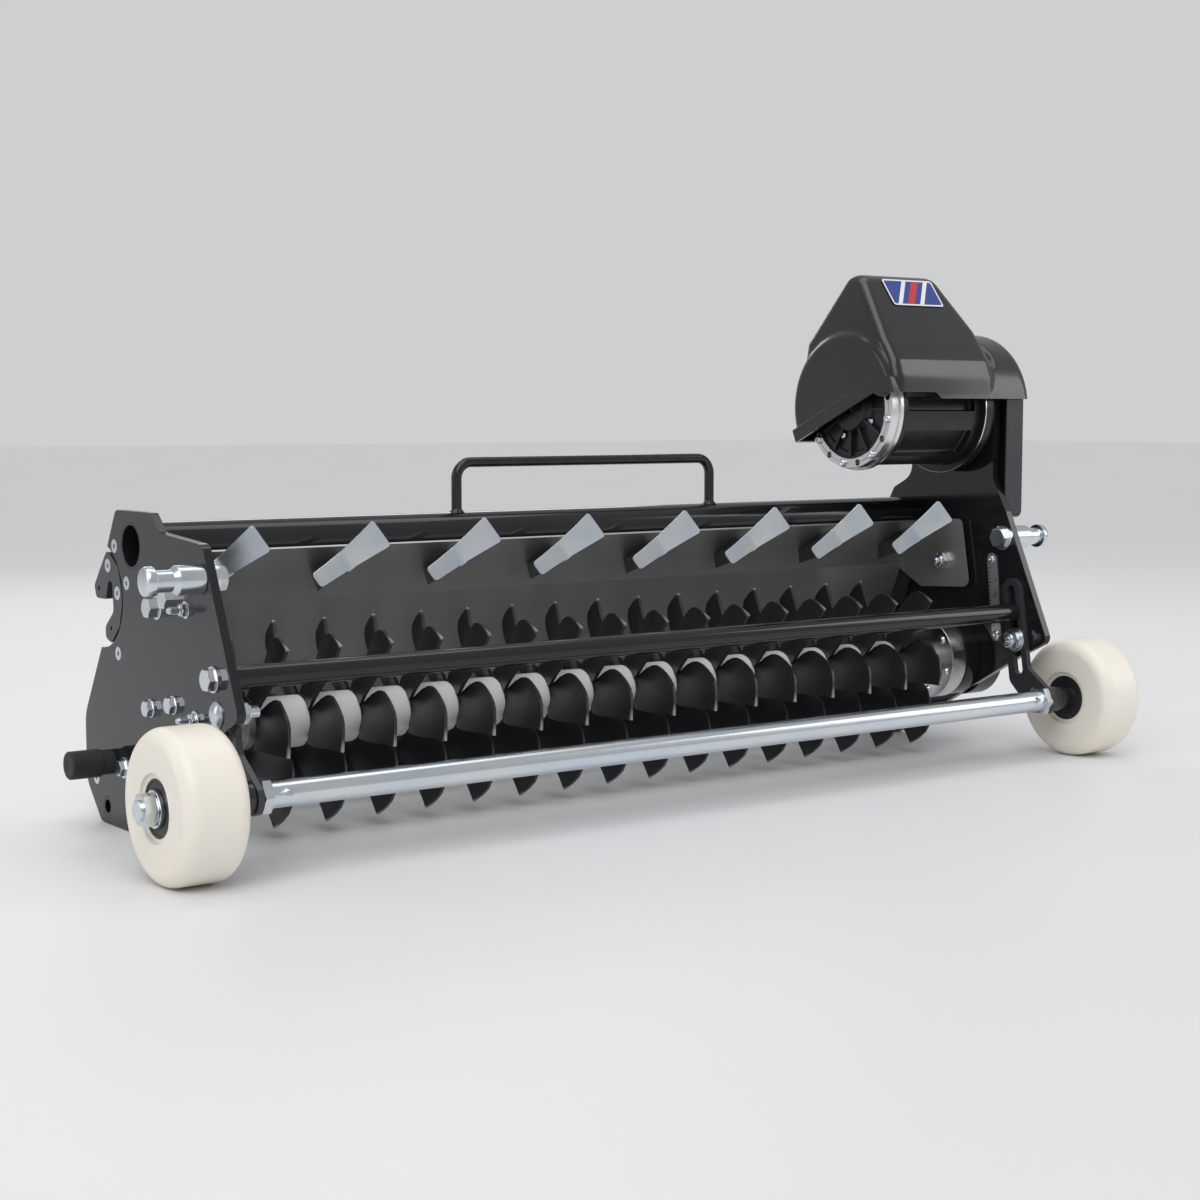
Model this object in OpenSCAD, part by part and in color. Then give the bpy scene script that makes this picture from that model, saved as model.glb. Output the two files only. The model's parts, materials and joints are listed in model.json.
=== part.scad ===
// Lawn scarifier head: two side plates tied by tubes, a driven reel of hooked tine discs,
// an electric motor over the right-hand end and two front wheels on a height-adjusting axle.
// X runs along the reel, Y to the rear, Z up. Y is measured from the front axle.

/* [Frame] */
// Clear distance between the two side plates
plate_gap = 936; // [900:4:1000]
// Thickness of the side plates
plate_t = 8; // [6:0.5:10]
// Outside diameter of the top tube
top_tube_d = 40; // [36:0.5:42]
// Wall of the top tube
top_tube_wall = 2; // [1.5:0.5:4]
// Outside diameter of the front cross tube
mid_tube_d = 20; // [18:0.5:21]
// Bore of the lower tie tube, open at both plates
tie_bore_d = 12; // [8:0.5:16]
// Height of the side plates above the ground at the top lobe
plate_h = 282; // [278:1:290]
// Diameter of the mounting spigots
spigot_d = 25; // [20:0.5:28]
// Diameter of the groove behind the spigot head
spigot_neck_d = 18; // [14:0.5:19]
// How far a spigot stands out of its plate
spigot_l = 51; // [44:1:64]
// Diameter of the recess that takes a hook plate
hook_recess_d = 93; // [91:0.5:94]

/* [Reel] */
// Radius swept by the tine tips
reel_r = 92; // [84:0.5:93]
// Number of tine discs
disc_count = 16; // [10:1:16]
// Distance from one disc to the next
disc_pitch = 51; // [44:0.5:51]
// Thickness of a tine disc
disc_t = 3; // [2:0.25:4]
// Tines on each disc
tine_count = 6; // [5:1:7]
// Twist of each tine out of the plane of its disc
tine_twist = 12; // [0:1:30]
// Outside diameter of the white spacers
spacer_d = 46; // [40:1:52]
// Diameter of the reel shaft
shaft_d = 25; // [20:0.5:28]
// Diameter of the machined bearing housing at the driven end
housing_d = 87; // [80:1:92]

/* [Wheels] */
// Diameter of the front wheels
wheel_d = 125; // [115:1:130]
// Distance between the middles of the two front wheels
wheel_track = 1044; // [1036:1:1064]
// Width of the front wheels
wheel_w = 56; // [48:1:60]
// Radius of the wheel shoulders
wheel_shoulder = 18; // [8:1:22]
// Diameter of the tube between the brackets
axle_tube_d = 22; // [21:0.5:28]
// Diameter of the axle rod
axle_rod_d = 17; // [12:0.5:18]
// Thickness of the slotted brackets
bracket_t = 6; // [4:0.5:8]
// Width of the adjusting slot
slot_w = 10.6; // [10.4:0.1:12]

/* [Motor] */
// Diameter of the machined motor ring
motor_ring_d = 130; // [118:1:134]
// Diameter over the cooling fins
motor_fin_d = 124; // [112:1:128]
// Number of cooling fins
fin_count = 14; // [8:1:20]
// Diameter of the motor mounting flange
motor_flange_d = 138; // [132:1:142]
// Wall of the moulded motor guard
guard_wall = 3; // [2:0.25:4]

/* [Deflector] */
// Thickness of the deflector sheet
sheet_t = 2; // [1.5:0.25:3]
// Number of deflector fins
paddle_count = 8; // [4:1:8]
// Distance between deflector fins
paddle_pitch = 118.5; // [90:0.5:119]

/* [Handle] */
// Distance between the feet of the carry handle
handle_w = 312; // [220:2:320]
// Height of the carry handle above the tube
handle_h = 47; // [40:1:70]
// Diameter of the handle bar
handle_d = 10; // [8:0.5:14]

/* [Hidden] */
$fn = 48;

running = 0.05;
seat = 0.3;
in_x = plate_gap / 2;
out_x = in_x + plate_t;

// Places in the YZ plane, seen from the end
axle = [0, wheel_d / 2];
reel = [138, 97];
top_tube = [201, plate_h - 30];
mid_tube = [44, 152.5];
clamp = [39.5, 124];
tie = [262, 16];
spigot = [64, plate_h - 50];
deflector_hole = [148, plate_h - 79];
hook_c = [266, 205];
buffer = [250, 58];
motor = [142, 370];
slot_dir = (mid_tube - clamp) / norm(mid_tube - clamp);
slot_top = mid_tube + 24 * slot_dir;
slot_low = clamp - 32 * slot_dir;
plate_rear = 308;
mid_y = (plate_rear - wheel_d / 2) / 2;
sides = [-1, 1];

// Colours
black_gloss = [0.03, 0.03, 0.035];
dark_grey = [0.16, 0.16, 0.17];
zinc = [0.78, 0.80, 0.82];
steel = [0.62, 0.62, 0.62];
nylon = [0.93, 0.91, 0.85];
rubber = [0.06, 0.06, 0.06];

// Every module is drawn with Y from the axle and then set to the middle of the base
module placed() {
    translate([0, -mid_y, 0]) children();
}

// A shape drawn in (Y, Z) and given a thickness from x to x + t
module slab(x, t) {
    translate([x, 0, 0]) rotate([90, 0, 90]) linear_extrude(t) children();
}

// A round bar along X at the place p
module rod(p, x, l, d) {
    translate([x, p[0], p[1]]) rotate([0, 90, 0]) cylinder(h = l, d = d);
}

module tube(p, x, l, d, bore) {
    difference() {
        rod(p, x, l, d);
        rod(p, x - 1, l + 2, bore);
    }
}

// Corner points of an outline with an arc of radius r at each corner [y, z, r]
function unit(v) = v / norm(v);
function xy(p) = [p[0], p[1]];
function corner_arc(a, b, c, steps) =
    let (u = unit(xy(a) - xy(b)), v = unit(xy(c) - xy(b)), half = acos(u * v) / 2,
         cut = b[2] / tan(half), mid = unit(u + v), o = xy(b) + mid * b[2] / sin(half),
         p = xy(b) + u * cut, q = xy(b) + v * cut, dp = p - o, dq = q - o,
         turn = acos(max(-1, min(1, dp * dq / (norm(dp) * norm(dq))))), way = cross(dp, dq) > 0 ? 1 : -1)
    [for (i = [0:steps]) let (t = way * turn * i / steps)
        o + [dp[0] * cos(t) - dp[1] * sin(t), dp[0] * sin(t) + dp[1] * cos(t)]];
function rounded(pts, steps = 5) =
    let (n = len(pts))
    [for (i = [0:n - 1])
        each (pts[i][2] > 0 ? corner_arc(pts[(i + n - 1) % n], pts[i], pts[(i + 1) % n], steps) : [xy(pts[i])])];

// A hexagon prism along X, d across flats
module hex_head(p, x, l, flats) {
    translate([x, p[0], p[1]]) rotate([0, 90, 0]) cylinder(h = l, d = flats / cos(30), $fn = 6);
}

// Bolt along X: head from x towards way, shank the other way
module hex_bolt(p, x, way, shank, flats = 17, d = 10, head = 7) {
    hex_head(p, way > 0 ? x : x - head, head, flats);
    rod(p, way > 0 ? x - shank : x, shank, d);
}

module washer(p, x, t, d, bore) {
    tube(p, x, t, d, bore);
}

module mirrored(side) {
    if (side > 0) children();
    else mirror([1, 0, 0]) children();
}

// Side plates: profile shared by both ends, the right one grows a neck for the motor
lower_front = [[62, plate_h - 22, 12], [1, 124, 9], [36, 107, 8]];
lower_rear = [[224, 0, 12], [276, 0, 14], [308, 34, 24], [308, 94, 30], [262, 168, 10],
              [254, plate_h - 38, 3]];
left_head = [[232, plate_h, 8], [161, plate_h, 7], [144, plate_h - 16, 5]];
right_head = [[204, plate_h + 14, 20], [204, motor[1] + 62, 60], [80, motor[1] + 62, 60], [82, plate_h + 14, 20]];

module plate_outline(right) {
    polygon(rounded(right ? concat(lower_rear, [[232, plate_h, 8]], right_head, lower_front)
                          : concat(lower_rear, left_head, lower_front)));
}

module plate_holes() {
    translate(hook_c) circle(d = hook_recess_d);
    translate(top_tube) circle(d = top_tube_d);
    translate(tie) circle(d = tie_bore_d + 6);
    translate(spigot) circle(d = 12);
    translate(mid_tube) circle(d = 10.4);
    translate(clamp) circle(d = 10.4);
    translate(deflector_hole) circle(d = 10.4);
    translate(buffer) circle(d = 8.4);
    for (p = bearing_bolts) translate(p) circle(d = 8.4);
    for (p = backing_screws) translate(p) circle(d = 6.2);
}

bearing_bolts = [for (a = [35:90:305]) reel + 32 * [cos(a), sin(a)]];
backing_screws = [[236, 250], [211.5, 219], [232, 156], [285.6, 38.5]];
hook_screws = [[251, 232], [231.5, 209]];

module side_plate(right) {
    difference() {
        slab(in_x, plate_t) difference() {
            plate_outline(right);
            plate_holes();
        }
        for (p = backing_screws) countersink(p);
        if (right) rod(reel, in_x - 1, plate_t + 2, shaft_d + 16);
        if (right) rod(motor, in_x - 1, plate_t + 2, 62);
    }
}

module left_side_plate() {
    color(black_gloss) placed() mirrored(-1) side_plate(false);
}

module right_side_plate() {
    color(black_gloss) placed() side_plate(true);
}

// Hook plates: drop-in plates let flush into the rear of the side plates
hook_outline = [[252, 246, 6], [268, 228, 4], [281, 213, 5], [277, 202, 5], [256, 202, 3], [250, 219, 4],
                [242, 219, 4], [240, 192, 8], [258, 178, 6], [258, 168, 5], [246, 164, 4], [228, 180, 6],
                [219.8, 205, 30], [229, 232, 6]];

module hook_plate() {
    slab(in_x, plate_t) difference() {
        intersection() {
            polygon(rounded(hook_outline));
            translate(hook_c) circle(d = hook_recess_d - 2 * seat, $fn = 96);
        }
        for (p = hook_screws) translate(p) circle(d = 6.2);
        translate([271, 211]) circle(d = 4);
        translate([246, 177]) circle(d = 4);
    }
}

module countersink(p) {
    translate([out_x - 3.2, p[0], p[1]]) rotate([0, 90, 0]) cylinder(h = 3.3, d1 = 6, d2 = 12.2);
}

module sunk_hook_plate() {
    difference() {
        hook_plate();
        for (p = hook_screws) countersink(p);
    }
}

module left_hook_plate() {
    color(dark_grey) placed() mirrored(-1) sunk_hook_plate();
}

module right_hook_plate() {
    color(dark_grey) placed() sunk_hook_plate();
}

// Backing plates bridge the recess on the inner faces and carry the hook plates
backing_outline = [[244, 254, 8], [228, 262, 6], [221.6, 258, 0], [221.6, 240, 0], [203, 230, 6],
                   [198, 200, 10], [212, 150, 8], [240, 140, 10], [266, 66, 8], [274, 28, 8], [297, 28, 8],
                   [300, 92, 8],
                   [254, 164, 20], [244, 200, 12]];

module backing_plate() {
    slab(in_x - 5, 5) difference() {
        polygon(rounded(backing_outline));
        for (p = concat(backing_screws, hook_screws)) translate(p) circle(d = 5.2);
    }
}

module left_backing_plate() {
    color(black_gloss) placed() mirrored(-1) backing_plate();
}

module right_backing_plate() {
    color(black_gloss) placed() backing_plate();
}

// Flat-headed socket screws, heads flush with the outer faces
module flat_screw(p) {
    difference() {
        union() {
            translate([out_x - 3.2, p[0], p[1]]) rotate([0, 90, 0]) cylinder(h = 3.2, d1 = 5.8, d2 = 12);
            rod(p, in_x - 5, plate_t + 2, 5);
        }
        translate([out_x - 2, p[0], p[1]]) rotate([0, 90, 0]) cylinder(h = 3, d = 4.6, $fn = 6);
    }
}

module countersunk_screws() {
    color(zinc) placed() for (s = sides) mirrored(s) {
        for (p = backing_screws) flat_screw(p);
        for (p = hook_screws) flat_screw(p);
    }
}

module top_tube() {
    color(black_gloss) placed() tube(top_tube, -out_x, 2 * out_x, top_tube_d, top_tube_d - 2 * top_tube_wall);
}

// Round-bar carry handle with bent corners, welded on top of the tube
handle_bend = 16;
handle_seat = 0.8;

module handle_bend_piece() {
    rotate([90, 0, 0]) rotate_extrude(angle = 90) translate([handle_bend, 0]) circle(d = handle_d);
}

module carry_handle() {
    foot = [top_tube[0], top_tube[1] + top_tube_d / 2 - handle_seat];
    half = handle_w / 2;
    rise = handle_h + handle_seat;
    color(black_gloss) placed() difference() {
        translate([12, foot[0], foot[1]]) {
            for (s = sides) mirrored(s) {
                translate([half, 0, 0]) cylinder(h = rise - handle_bend, d = handle_d);
                translate([half - handle_bend, 0, rise - handle_bend]) handle_bend_piece();
                translate([half, 0, 0]) cylinder(h = 3.4, d1 = handle_d + 6, d2 = handle_d);
            }
            translate([handle_bend - half, 0, rise]) rotate([0, 90, 0])
                cylinder(h = handle_w - 2 * handle_bend, d = handle_d);
        }
        rod(top_tube, -handle_w, 2 * handle_w, top_tube_d);
    }
}

// Front cross tube, tapped at the ends and bolted through plates and bracket slots
mid_l = plate_gap - 2 * bracket_t - 4 * seat;

module mid_tube() {
    color(black_gloss) placed() tube(mid_tube, -mid_l / 2, mid_l, mid_tube_d, 10);
}

module mid_tube_bolts() {
    color(zinc) placed() for (s = sides) mirrored(s) {
        hex_bolt(mid_tube, out_x + 2, 1, 48);
        washer(mid_tube, out_x, 2, 22, 10);
    }
}

module tie_tube() {
    color(black_gloss) placed() tube(tie, -out_x, 2 * out_x, tie_bore_d + 6, tie_bore_d);
}

// Spigots: turned pins with a grooved end that drop into the carrying machine
module spigot_pin() {
    head = 9;
    neck = 15;
    taper = 4;
    body = spigot_l - head - neck - taper;
    difference() {
        translate([out_x, spigot[0], spigot[1]]) rotate([0, 90, 0]) rotate_extrude($fn = 64)
            polygon([[0, 0], [spigot_d / 2, 0], [spigot_d / 2, body], [spigot_neck_d / 2, body + taper],
                     [spigot_neck_d / 2, body + taper + neck], [spigot_d / 2, body + taper + neck + 1],
                     [spigot_d / 2, spigot_l - 3], [spigot_d / 2 - 3, spigot_l - 0.8], [0, spigot_l]]);
        rod(spigot, out_x - 1, 26, 12);
    }
}

module left_spigot() {
    color(zinc) placed() mirrored(-1) spigot_pin();
}

module right_spigot() {
    color(zinc) placed() spigot_pin();
}

module spigot_bolts() {
    color(zinc) placed() for (s = sides) mirrored(s) {
        rod(spigot, in_x - 4, plate_t + 28, 12);
        rod(spigot, in_x - 4, 4, 26);
        hex_head(spigot, in_x - 12, 8, 19);
    }
}

// Rubber buffers at the rear of the plates
module buffer_knob() {
    rod(buffer, out_x, 12, 22);
    rod(buffer, out_x + 12, 34, 25);
    rod(buffer, in_x - 8, plate_t + 9, 8.2);
}

module left_buffer() {
    color(rubber) placed() mirrored(-1) buffer_knob();
}

module right_buffer() {
    color(rubber) placed() buffer_knob();
}

// Bolts of the bearing housings: hexagon heads at the left, low heads behind the drive at the right
module plate_bolts() {
    color(zinc) placed() for (p = bearing_bolts) {
        mirrored(-1) {
            hex_bolt(p, out_x + 1.6, 1, plate_t + 9, 13, 8, 5.5);
            washer(p, out_x, 1.6, 16, 8);
        }
        rod(p, out_x, 2.4, 14);
        rod(p, out_x - plate_t - 9, plate_t + 9, 8);
    }
}

// Deflector: a bent sheet between the plates behind the reel, with a flange at each end
sheet_line = [top_tube + [-29, -6], top_tube + [13, -56], [236, 140], [241, 78]];
flange_line = [for (p = [[-30, -4, 2], [-80, -2, 6], [-93, -76, 8], [-20, -80, 3], [13, -62, 3], [13, -55, 0]])
    [top_tube[0] + p[0], top_tube[1] + p[1], p[2]]];
sheet_end = in_x - 5.3;

function side_step(line, i, t) =
    let (a = i > 0 ? unit(line[i] - line[i - 1]) : unit(line[1] - line[0]),
         b = i < len(line) - 1 ? unit(line[i + 1] - line[i]) : a,
         m = unit(a + b))
    line[i] + t / (m * a) * [-m[1], m[0]];
function strip(line, t) = concat(line, [for (i = [len(line) - 1:-1:0]) side_step(line, i, t)]);

module deflector_sheet() {
    color(steel) placed() {
        slab(-sheet_end, 2 * sheet_end) polygon(strip(sheet_line, sheet_t));
        for (s = sides) mirrored(s) difference() {
            slab(sheet_end - sheet_t, sheet_t) polygon(rounded(flange_line));
            rod(deflector_hole, sheet_end - 5, 8, 10.4);
        }
    }
}

module deflector_end_bolts() {
    for (s = sides) mirrored(s) {
        hex_bolt(deflector_hole, out_x + 2, 1, 32, 16, 10);
        washer(deflector_hole, out_x, 2, 21, 10);
        washer(deflector_hole, sheet_end, in_x - sheet_end, 20, 10);
        difference() {
            hex_head(deflector_hole, sheet_end - sheet_t - 10, 10, 17);
            rod(deflector_hole, sheet_end - sheet_t - 11, 12, 10);
        }
    }
}

// Eight folded paddles stand forward of the sheet on wedges
paddle_t = 2.5;
paddle_l = 66;
first_paddle = -paddle_pitch * (paddle_count - 1) / 2;
paddle_tilt = [-14, -33, -12];

module at_paddle(i) {
    translate([first_paddle + i * paddle_pitch + 4, top_tube[0] - 61, top_tube[1] - 12]) rotate([0, 0, paddle_tilt[2]])
        rotate([paddle_tilt[0], paddle_tilt[1], 0]) children();
}

module paddle() {
    bend = 14;
    rotate([90, 0, 0]) linear_extrude(paddle_t)
        polygon(rounded([[-paddle_l / 2, -9, 2], [0, -10, 0], [0, 10, 0], [-paddle_l / 2, 8, 2]]));
    rotate([0, 0, -bend]) rotate([90, 0, 0]) linear_extrude(paddle_t)
        polygon(rounded([[-0.6, -10, 0], [paddle_l / 2, -13, 3], [paddle_l / 2 - 2, 15, 3], [-0.6, 10, 0]]));
}

module deflector_paddles() {
    color(zinc) placed() for (i = [0:paddle_count - 1]) at_paddle(i) difference() {
        paddle();
        translate([-16, 5, 0]) rotate([90, 0, 0]) cylinder(h = 12, d = 8.2);
    }
}

// Everything behind the front face of the upper sheet panel
module behind_sheet() {
    a = sheet_line[0];
    b = sheet_line[1];
    translate([-plate_gap, a[0], a[1]]) rotate([atan2(b[1] - a[1], b[0] - a[0]), 0, 0])
        translate([0, -200, 0]) cube([2 * plate_gap, 400, 200]);
}

module paddle_wedges() {
    color(black_gloss) placed() difference() {
        for (i = [0:paddle_count - 1]) at_paddle(i) difference() {
            translate([-31, 0, -7.5]) cube([28, 70, 15]);
            translate([-16, 30, 0]) rotate([90, 0, 0]) cylinder(h = 31, d = 8);
        }
        behind_sheet();
    }
}

module paddle_screws() {
    for (i = [0:paddle_count - 1]) at_paddle(i) translate([-16, 0, 0]) {
        translate([0, 18, 0]) rotate([90, 0, 0]) cylinder(h = 18 + paddle_t + 1, d = 8);
        translate([0, -paddle_t, 0]) rotate([90, 0, 0]) cylinder(h = 3.6, d1 = 14, d2 = 10);
    }
}

module deflector_bolts() {
    color(zinc) placed() {
        deflector_end_bolts();
        paddle_screws();
    }
}

// Height gauges on the inner faces
gauge_top = [80, 208];
gauge_low = [71, 126];
gauge_w = 13;
gauge_t = 2;

module gauge_strip() {
    dir = unit(gauge_top - gauge_low);
    l = norm(gauge_top - gauge_low);
    difference() {
        translate([in_x - gauge_t, gauge_low[0], gauge_low[1]]) rotate([-atan2(dir[0], dir[1]), 0, 0]) {
            translate([0, -gauge_w / 2, 0]) cube([gauge_t, gauge_w, l]);
            for (z = [0, l]) translate([0, 0, z]) rotate([0, 90, 0]) cylinder(h = gauge_t, d = gauge_w);
            for (k = [2:8]) translate([-0.4, -gauge_w / 2, k * l / 10]) cube([0.4, k % 2 == 0 ? 8 : 5, 0.8]);
        }
        for (p = [gauge_top, gauge_low]) rod(p, in_x - 5, 8, 5.2);
    }
}

module left_gauge_strip() {
    color(steel) placed() mirrored(-1) gauge_strip();
}

module right_gauge_strip() {
    color(steel) placed() gauge_strip();
}

module gauge_screws() {
    color(zinc) placed() for (s = sides) mirrored(s) for (p = [gauge_top, gauge_low]) difference() {
        union() {
            rod(p, in_x - gauge_t - 1, 1 + gauge_t, 5);
            translate([in_x - gauge_t - 3, p[0], p[1]]) rotate([0, 90, 0]) cylinder(h = 3, d1 = 6, d2 = 10);
        }
        rod(p, in_x - gauge_t - 3.1, 1.6, 3);
    }
}

// Reel: hooked tines twisted out of a hub disc
first_disc = -400;
tip_v = 16;
hub_r = spacer_d / 2 + 1.5;
phase = 179;

function disc_x(i) = first_disc + i * disc_pitch;

module tine() {
    tip_u = sqrt(reel_r * reel_r - tip_v * tip_v);
    root = hub_r - 1.5;
    rotate([-tine_twist, 0, 0]) translate([0, 0, -disc_t / 2]) linear_extrude(disc_t)
        polygon(rounded([[root, 12, 0], [root + 8, tip_v, 6], [tip_u, tip_v, 0], [tip_u - 2, -9, 9], [tip_u - 18, -20, 22],
                         [root + 26, -22, 22], [root, -12, 0]], 4));
}

module tine_disc(i) {
    translate([disc_x(i), reel[0], reel[1]]) rotate([90, 0, 90]) difference() {
        union() {
            translate([0, 0, -disc_t / 2]) cylinder(h = disc_t, r = hub_r);
            for (k = [0:tine_count - 1]) rotate(phase + 360 * k / tine_count) tine();
        }
        translate([0, 0, -20]) cylinder(h = 40, d = shaft_d);
    }
}

module tine_discs_left() {
    color(black_gloss) placed() for (i = [0:floor(disc_count / 2) - 1]) tine_disc(i);
}

module tine_discs_right() {
    color(black_gloss) placed() for (i = [floor(disc_count / 2):disc_count - 1]) tine_disc(i);
}

module reel_spacers() {
    l = disc_pitch - disc_t;
    color("white") placed() for (i = [0:disc_count - 2])
        tube(reel, disc_x(i) + disc_t / 2, l, spacer_d, shaft_d);
}

housing_face = in_x - 44;
last_disc = disc_x(disc_count - 1) + disc_t / 2;

module reel_shaft() {
    color(steel) placed() rod(reel, -in_x + 2, in_x + out_x + 18, shaft_d);
}

module shaft_collars() {
    left = disc_x(0) - disc_t / 2;
    color(steel) placed() {
        tube(reel, last_disc, 8, 42, shaft_d);
        tube(reel, last_disc + 8, housing_face - last_disc - 9, 32, shaft_d);
        tube(reel, left - 8, 8, 42, shaft_d);
        tube(reel, -in_x + 27, left - 8 + in_x - 27, 32, shaft_d);
    }
}

// Bearing housings and their ball bearings, drawn as rings with a running fit on the shaft
bearing_d = 52;
bearing_w = 15;

module left_bearing_housing() {
    color(black_gloss) placed() mirrored(-1) difference() {
        union() {
            rod(reel, in_x - 8, 8, 80);
            rod(reel, in_x - 24, 20, 64);
        }
        rod(reel, in_x - 25, bearing_w + 5, bearing_d);
        rod(reel, in_x - 30, 40, shaft_d + 6);
        for (p = bearing_bolts) rod(p, in_x - 9, 10, 8);
    }
}

module left_bearing() {
    color(steel) placed() mirrored(-1) tube(reel, in_x - 5 - bearing_w, bearing_w, bearing_d, shaft_d + 2 * running);
}

module right_bearing_housing() {
    color(steel) placed() difference() {
        rod(reel, housing_face, 21, housing_d);
        rod(reel, housing_face + 3, bearing_w + 4, bearing_d);
        rod(reel, housing_face - 1, 30, shaft_d + 14);
        for (a = [20:60:320]) rod(reel + (housing_d / 2 - 9) * [cos(a), sin(a)], housing_face - 1, 8, 6);
    }
}

module right_bearing() {
    color(steel) placed() tube(reel, housing_face + 3, bearing_w, bearing_d, shaft_d + 2 * running);
}

module bearing_drum() {
    color(black_gloss) placed() difference() {
        union() {
            rod(reel, housing_face + 21, 3, housing_d - 8);
            rod(reel, housing_face + 24, in_x - housing_face - 24, housing_d - 2);
        }
        rod(reel, housing_face + 20, 40, shaft_d + 16);
        for (p = bearing_bolts) rod(p, in_x - 12, 13, 8);
    }
}

module housing_screws() {
    color(zinc) placed() for (a = [20:60:320]) {
        p = reel + (housing_d / 2 - 9) * [cos(a), sin(a)];
        rod(p, housing_face, 7, 6);
        translate([housing_face - 2.6, p[0], p[1]]) rotate([0, 90, 0]) cylinder(h = 2.6, d1 = 6, d2 = 9.6);
    }
}

// Front axle: slotted brackets, tube, rod, sleeves and nuts move together
bracket_x = in_x - seat - bracket_t;
across = [slot_dir[1], -slot_dir[0]];
bracket_r = 13;

module bracket() {
    up = slot_top + bracket_r * slot_dir;
    slab(bracket_x, bracket_t) difference() {
        polygon(rounded([
            concat(up + bracket_r * across, [12.9]), concat(up - bracket_r * across, [12.9]),
            concat(slot_low - bracket_r * across, [10]), [axle[0] - 15, axle[1] + 6, 8],
            [axle[0] - 15, axle[1] - 15, 14], [axle[0] + 15, axle[1] - 15, 14],
            concat(slot_low + bracket_r * across + [0, -12], [12])]));
        hull() {
            translate(slot_top) circle(d = slot_w);
            translate(slot_low) circle(d = slot_w);
        }
        translate(axle) circle(d = axle_rod_d + 0.2);
    }
}

module left_bracket() {
    color(dark_grey) placed() mirrored(-1) bracket();
}

module right_bracket() {
    color(dark_grey) placed() bracket();
}

module clamp_bolts() {
    color(zinc) placed() for (s = sides) mirrored(s) {
        rod(clamp, in_x - 28, plate_t + 28, 10);
        translate([out_x, clamp[0], clamp[1]]) rotate([0, 90, 0]) cylinder(h = 5, d1 = 23, d2 = 12);
    }
}

module clamp_nuts() {
    x = bracket_x - seat;
    color(zinc) placed() for (s = sides) mirrored(s) difference() {
        union() {
            rod(clamp, x - 2, 2, 26);
            rod(clamp, x - 5, 3, 21);
            hex_head(clamp, x - 14, 9, 17);
        }
        rod(clamp, x - 20, 24, 10);
    }
}

module front_axle_tube() {
    color(zinc) placed() tube(axle, -bracket_x, 2 * bracket_x, axle_tube_d, axle_rod_d + 0.2);
}

wheel_x = wheel_track / 2;
bearing_inset = 3;
hub_bearing_d = 47;
hub_bearing_w = 14;
outer_face = wheel_x + wheel_w / 2 - bearing_inset;
inner_face = wheel_x - wheel_w / 2 + bearing_inset;

module axle_rod() {
    color(zinc) placed() rod(axle, -outer_face - 17, 2 * outer_face + 34, axle_rod_d);
}

module hub_sleeves() {
    x = bracket_x + bracket_t;
    color(dark_grey) placed() for (s = sides) mirrored(s)
        tube(axle, x, inner_face - seat - x, axle_rod_d + 9, axle_rod_d);
}

module axle_nuts() {
    color(zinc) placed() for (s = sides) mirrored(s) {
        washer(axle, outer_face + seat, 3, 30, axle_rod_d);
        difference() {
            hex_head(axle, outer_face + seat + 3, 11, 24);
            rod(axle, outer_face, 20, axle_rod_d);
        }
        difference() {
            hex_head(axle, bracket_x - 9, 9, 27);
            rod(axle, bracket_x - 10, 12, axle_tube_d);
        }
    }
}

module grease_nipples() {
    color(zinc) placed() difference() {
        for (s = sides) translate([s * (bracket_x - 22), 0, axle[1]]) rotate([75, 0, 0]) {
            cylinder(h = axle_tube_d / 2 + 5, d = 7, $fn = 6);
            translate([0, 0, axle_tube_d / 2 + 5]) cylinder(h = 3, d1 = 3.4, d2 = 5);
        }
        rod(axle, -bracket_x, 2 * bracket_x, axle_tube_d);
    }
}

module wheel() {
    r = wheel_d / 2;
    h = wheel_w / 2;
    c = wheel_shoulder;
    arc = [for (a = [0:10:90]) [h - c + c * sin(a), r - c + c * cos(a)]];
    half = concat(arc, [[h, hub_bearing_d / 2 + 4], [h - bearing_inset, hub_bearing_d / 2 + 3],
                        [h - bearing_inset, hub_bearing_d / 2],
                        [h - bearing_inset - hub_bearing_w, hub_bearing_d / 2],
                        [h - bearing_inset - hub_bearing_w, hub_bearing_d / 2 - 4]]);
    full = concat(half, [for (i = [len(half) - 1:-1:0]) [-half[i][0], half[i][1]]]);
    translate([wheel_x, axle[0], axle[1]]) rotate([0, 90, 0]) rotate_extrude($fn = 96)
        polygon([for (p = full) [p[1], p[0]]]);
}

module left_wheel() {
    color(nylon) placed() mirrored(-1) wheel();
}

module right_wheel() {
    color(nylon) placed() wheel();
}

module hub_bearings() {
    bore = axle_rod_d + 2 * running;
    for (x = [outer_face - hub_bearing_w, inner_face]) difference() {
        rod(axle, x, hub_bearing_w, hub_bearing_d);
        rod(axle, x - 1, hub_bearing_w + 2, bore);
        for (f = [x - 1, x + hub_bearing_w - 0.8]) tube(axle, f, 1.8, 31, 29);
    }
}

module left_wheel_bearings() {
    color(dark_grey) placed() mirrored(-1) hub_bearings();
}

module right_wheel_bearings() {
    color(dark_grey) placed() hub_bearings();
}

// Motor over the driven end
motor_x = in_x - 22;
ring_x = in_x - 156;
ring_t = 16;
motor_shaft_d = 14;

module motor_body() {
    l = motor_x - ring_x - ring_t;
    color(black_gloss) placed() difference() {
        union() {
            rod(motor, ring_x + ring_t, l, motor_fin_d - 14);
            for (k = [0:fin_count - 1]) translate([ring_x + ring_t, motor[0], motor[1]])
                rotate([360 * k / fin_count, 0, 0]) translate([0, motor_fin_d / 2 - 12, -4.5])
                    cube([l, 10.5, 9]);
            for (x = [ring_x + ring_t, motor_x - 8]) rod(motor, x, 8, motor_fin_d);
        }
        rod(motor, ring_x, motor_x, motor_shaft_d + 2 * running);
    }
}

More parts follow.
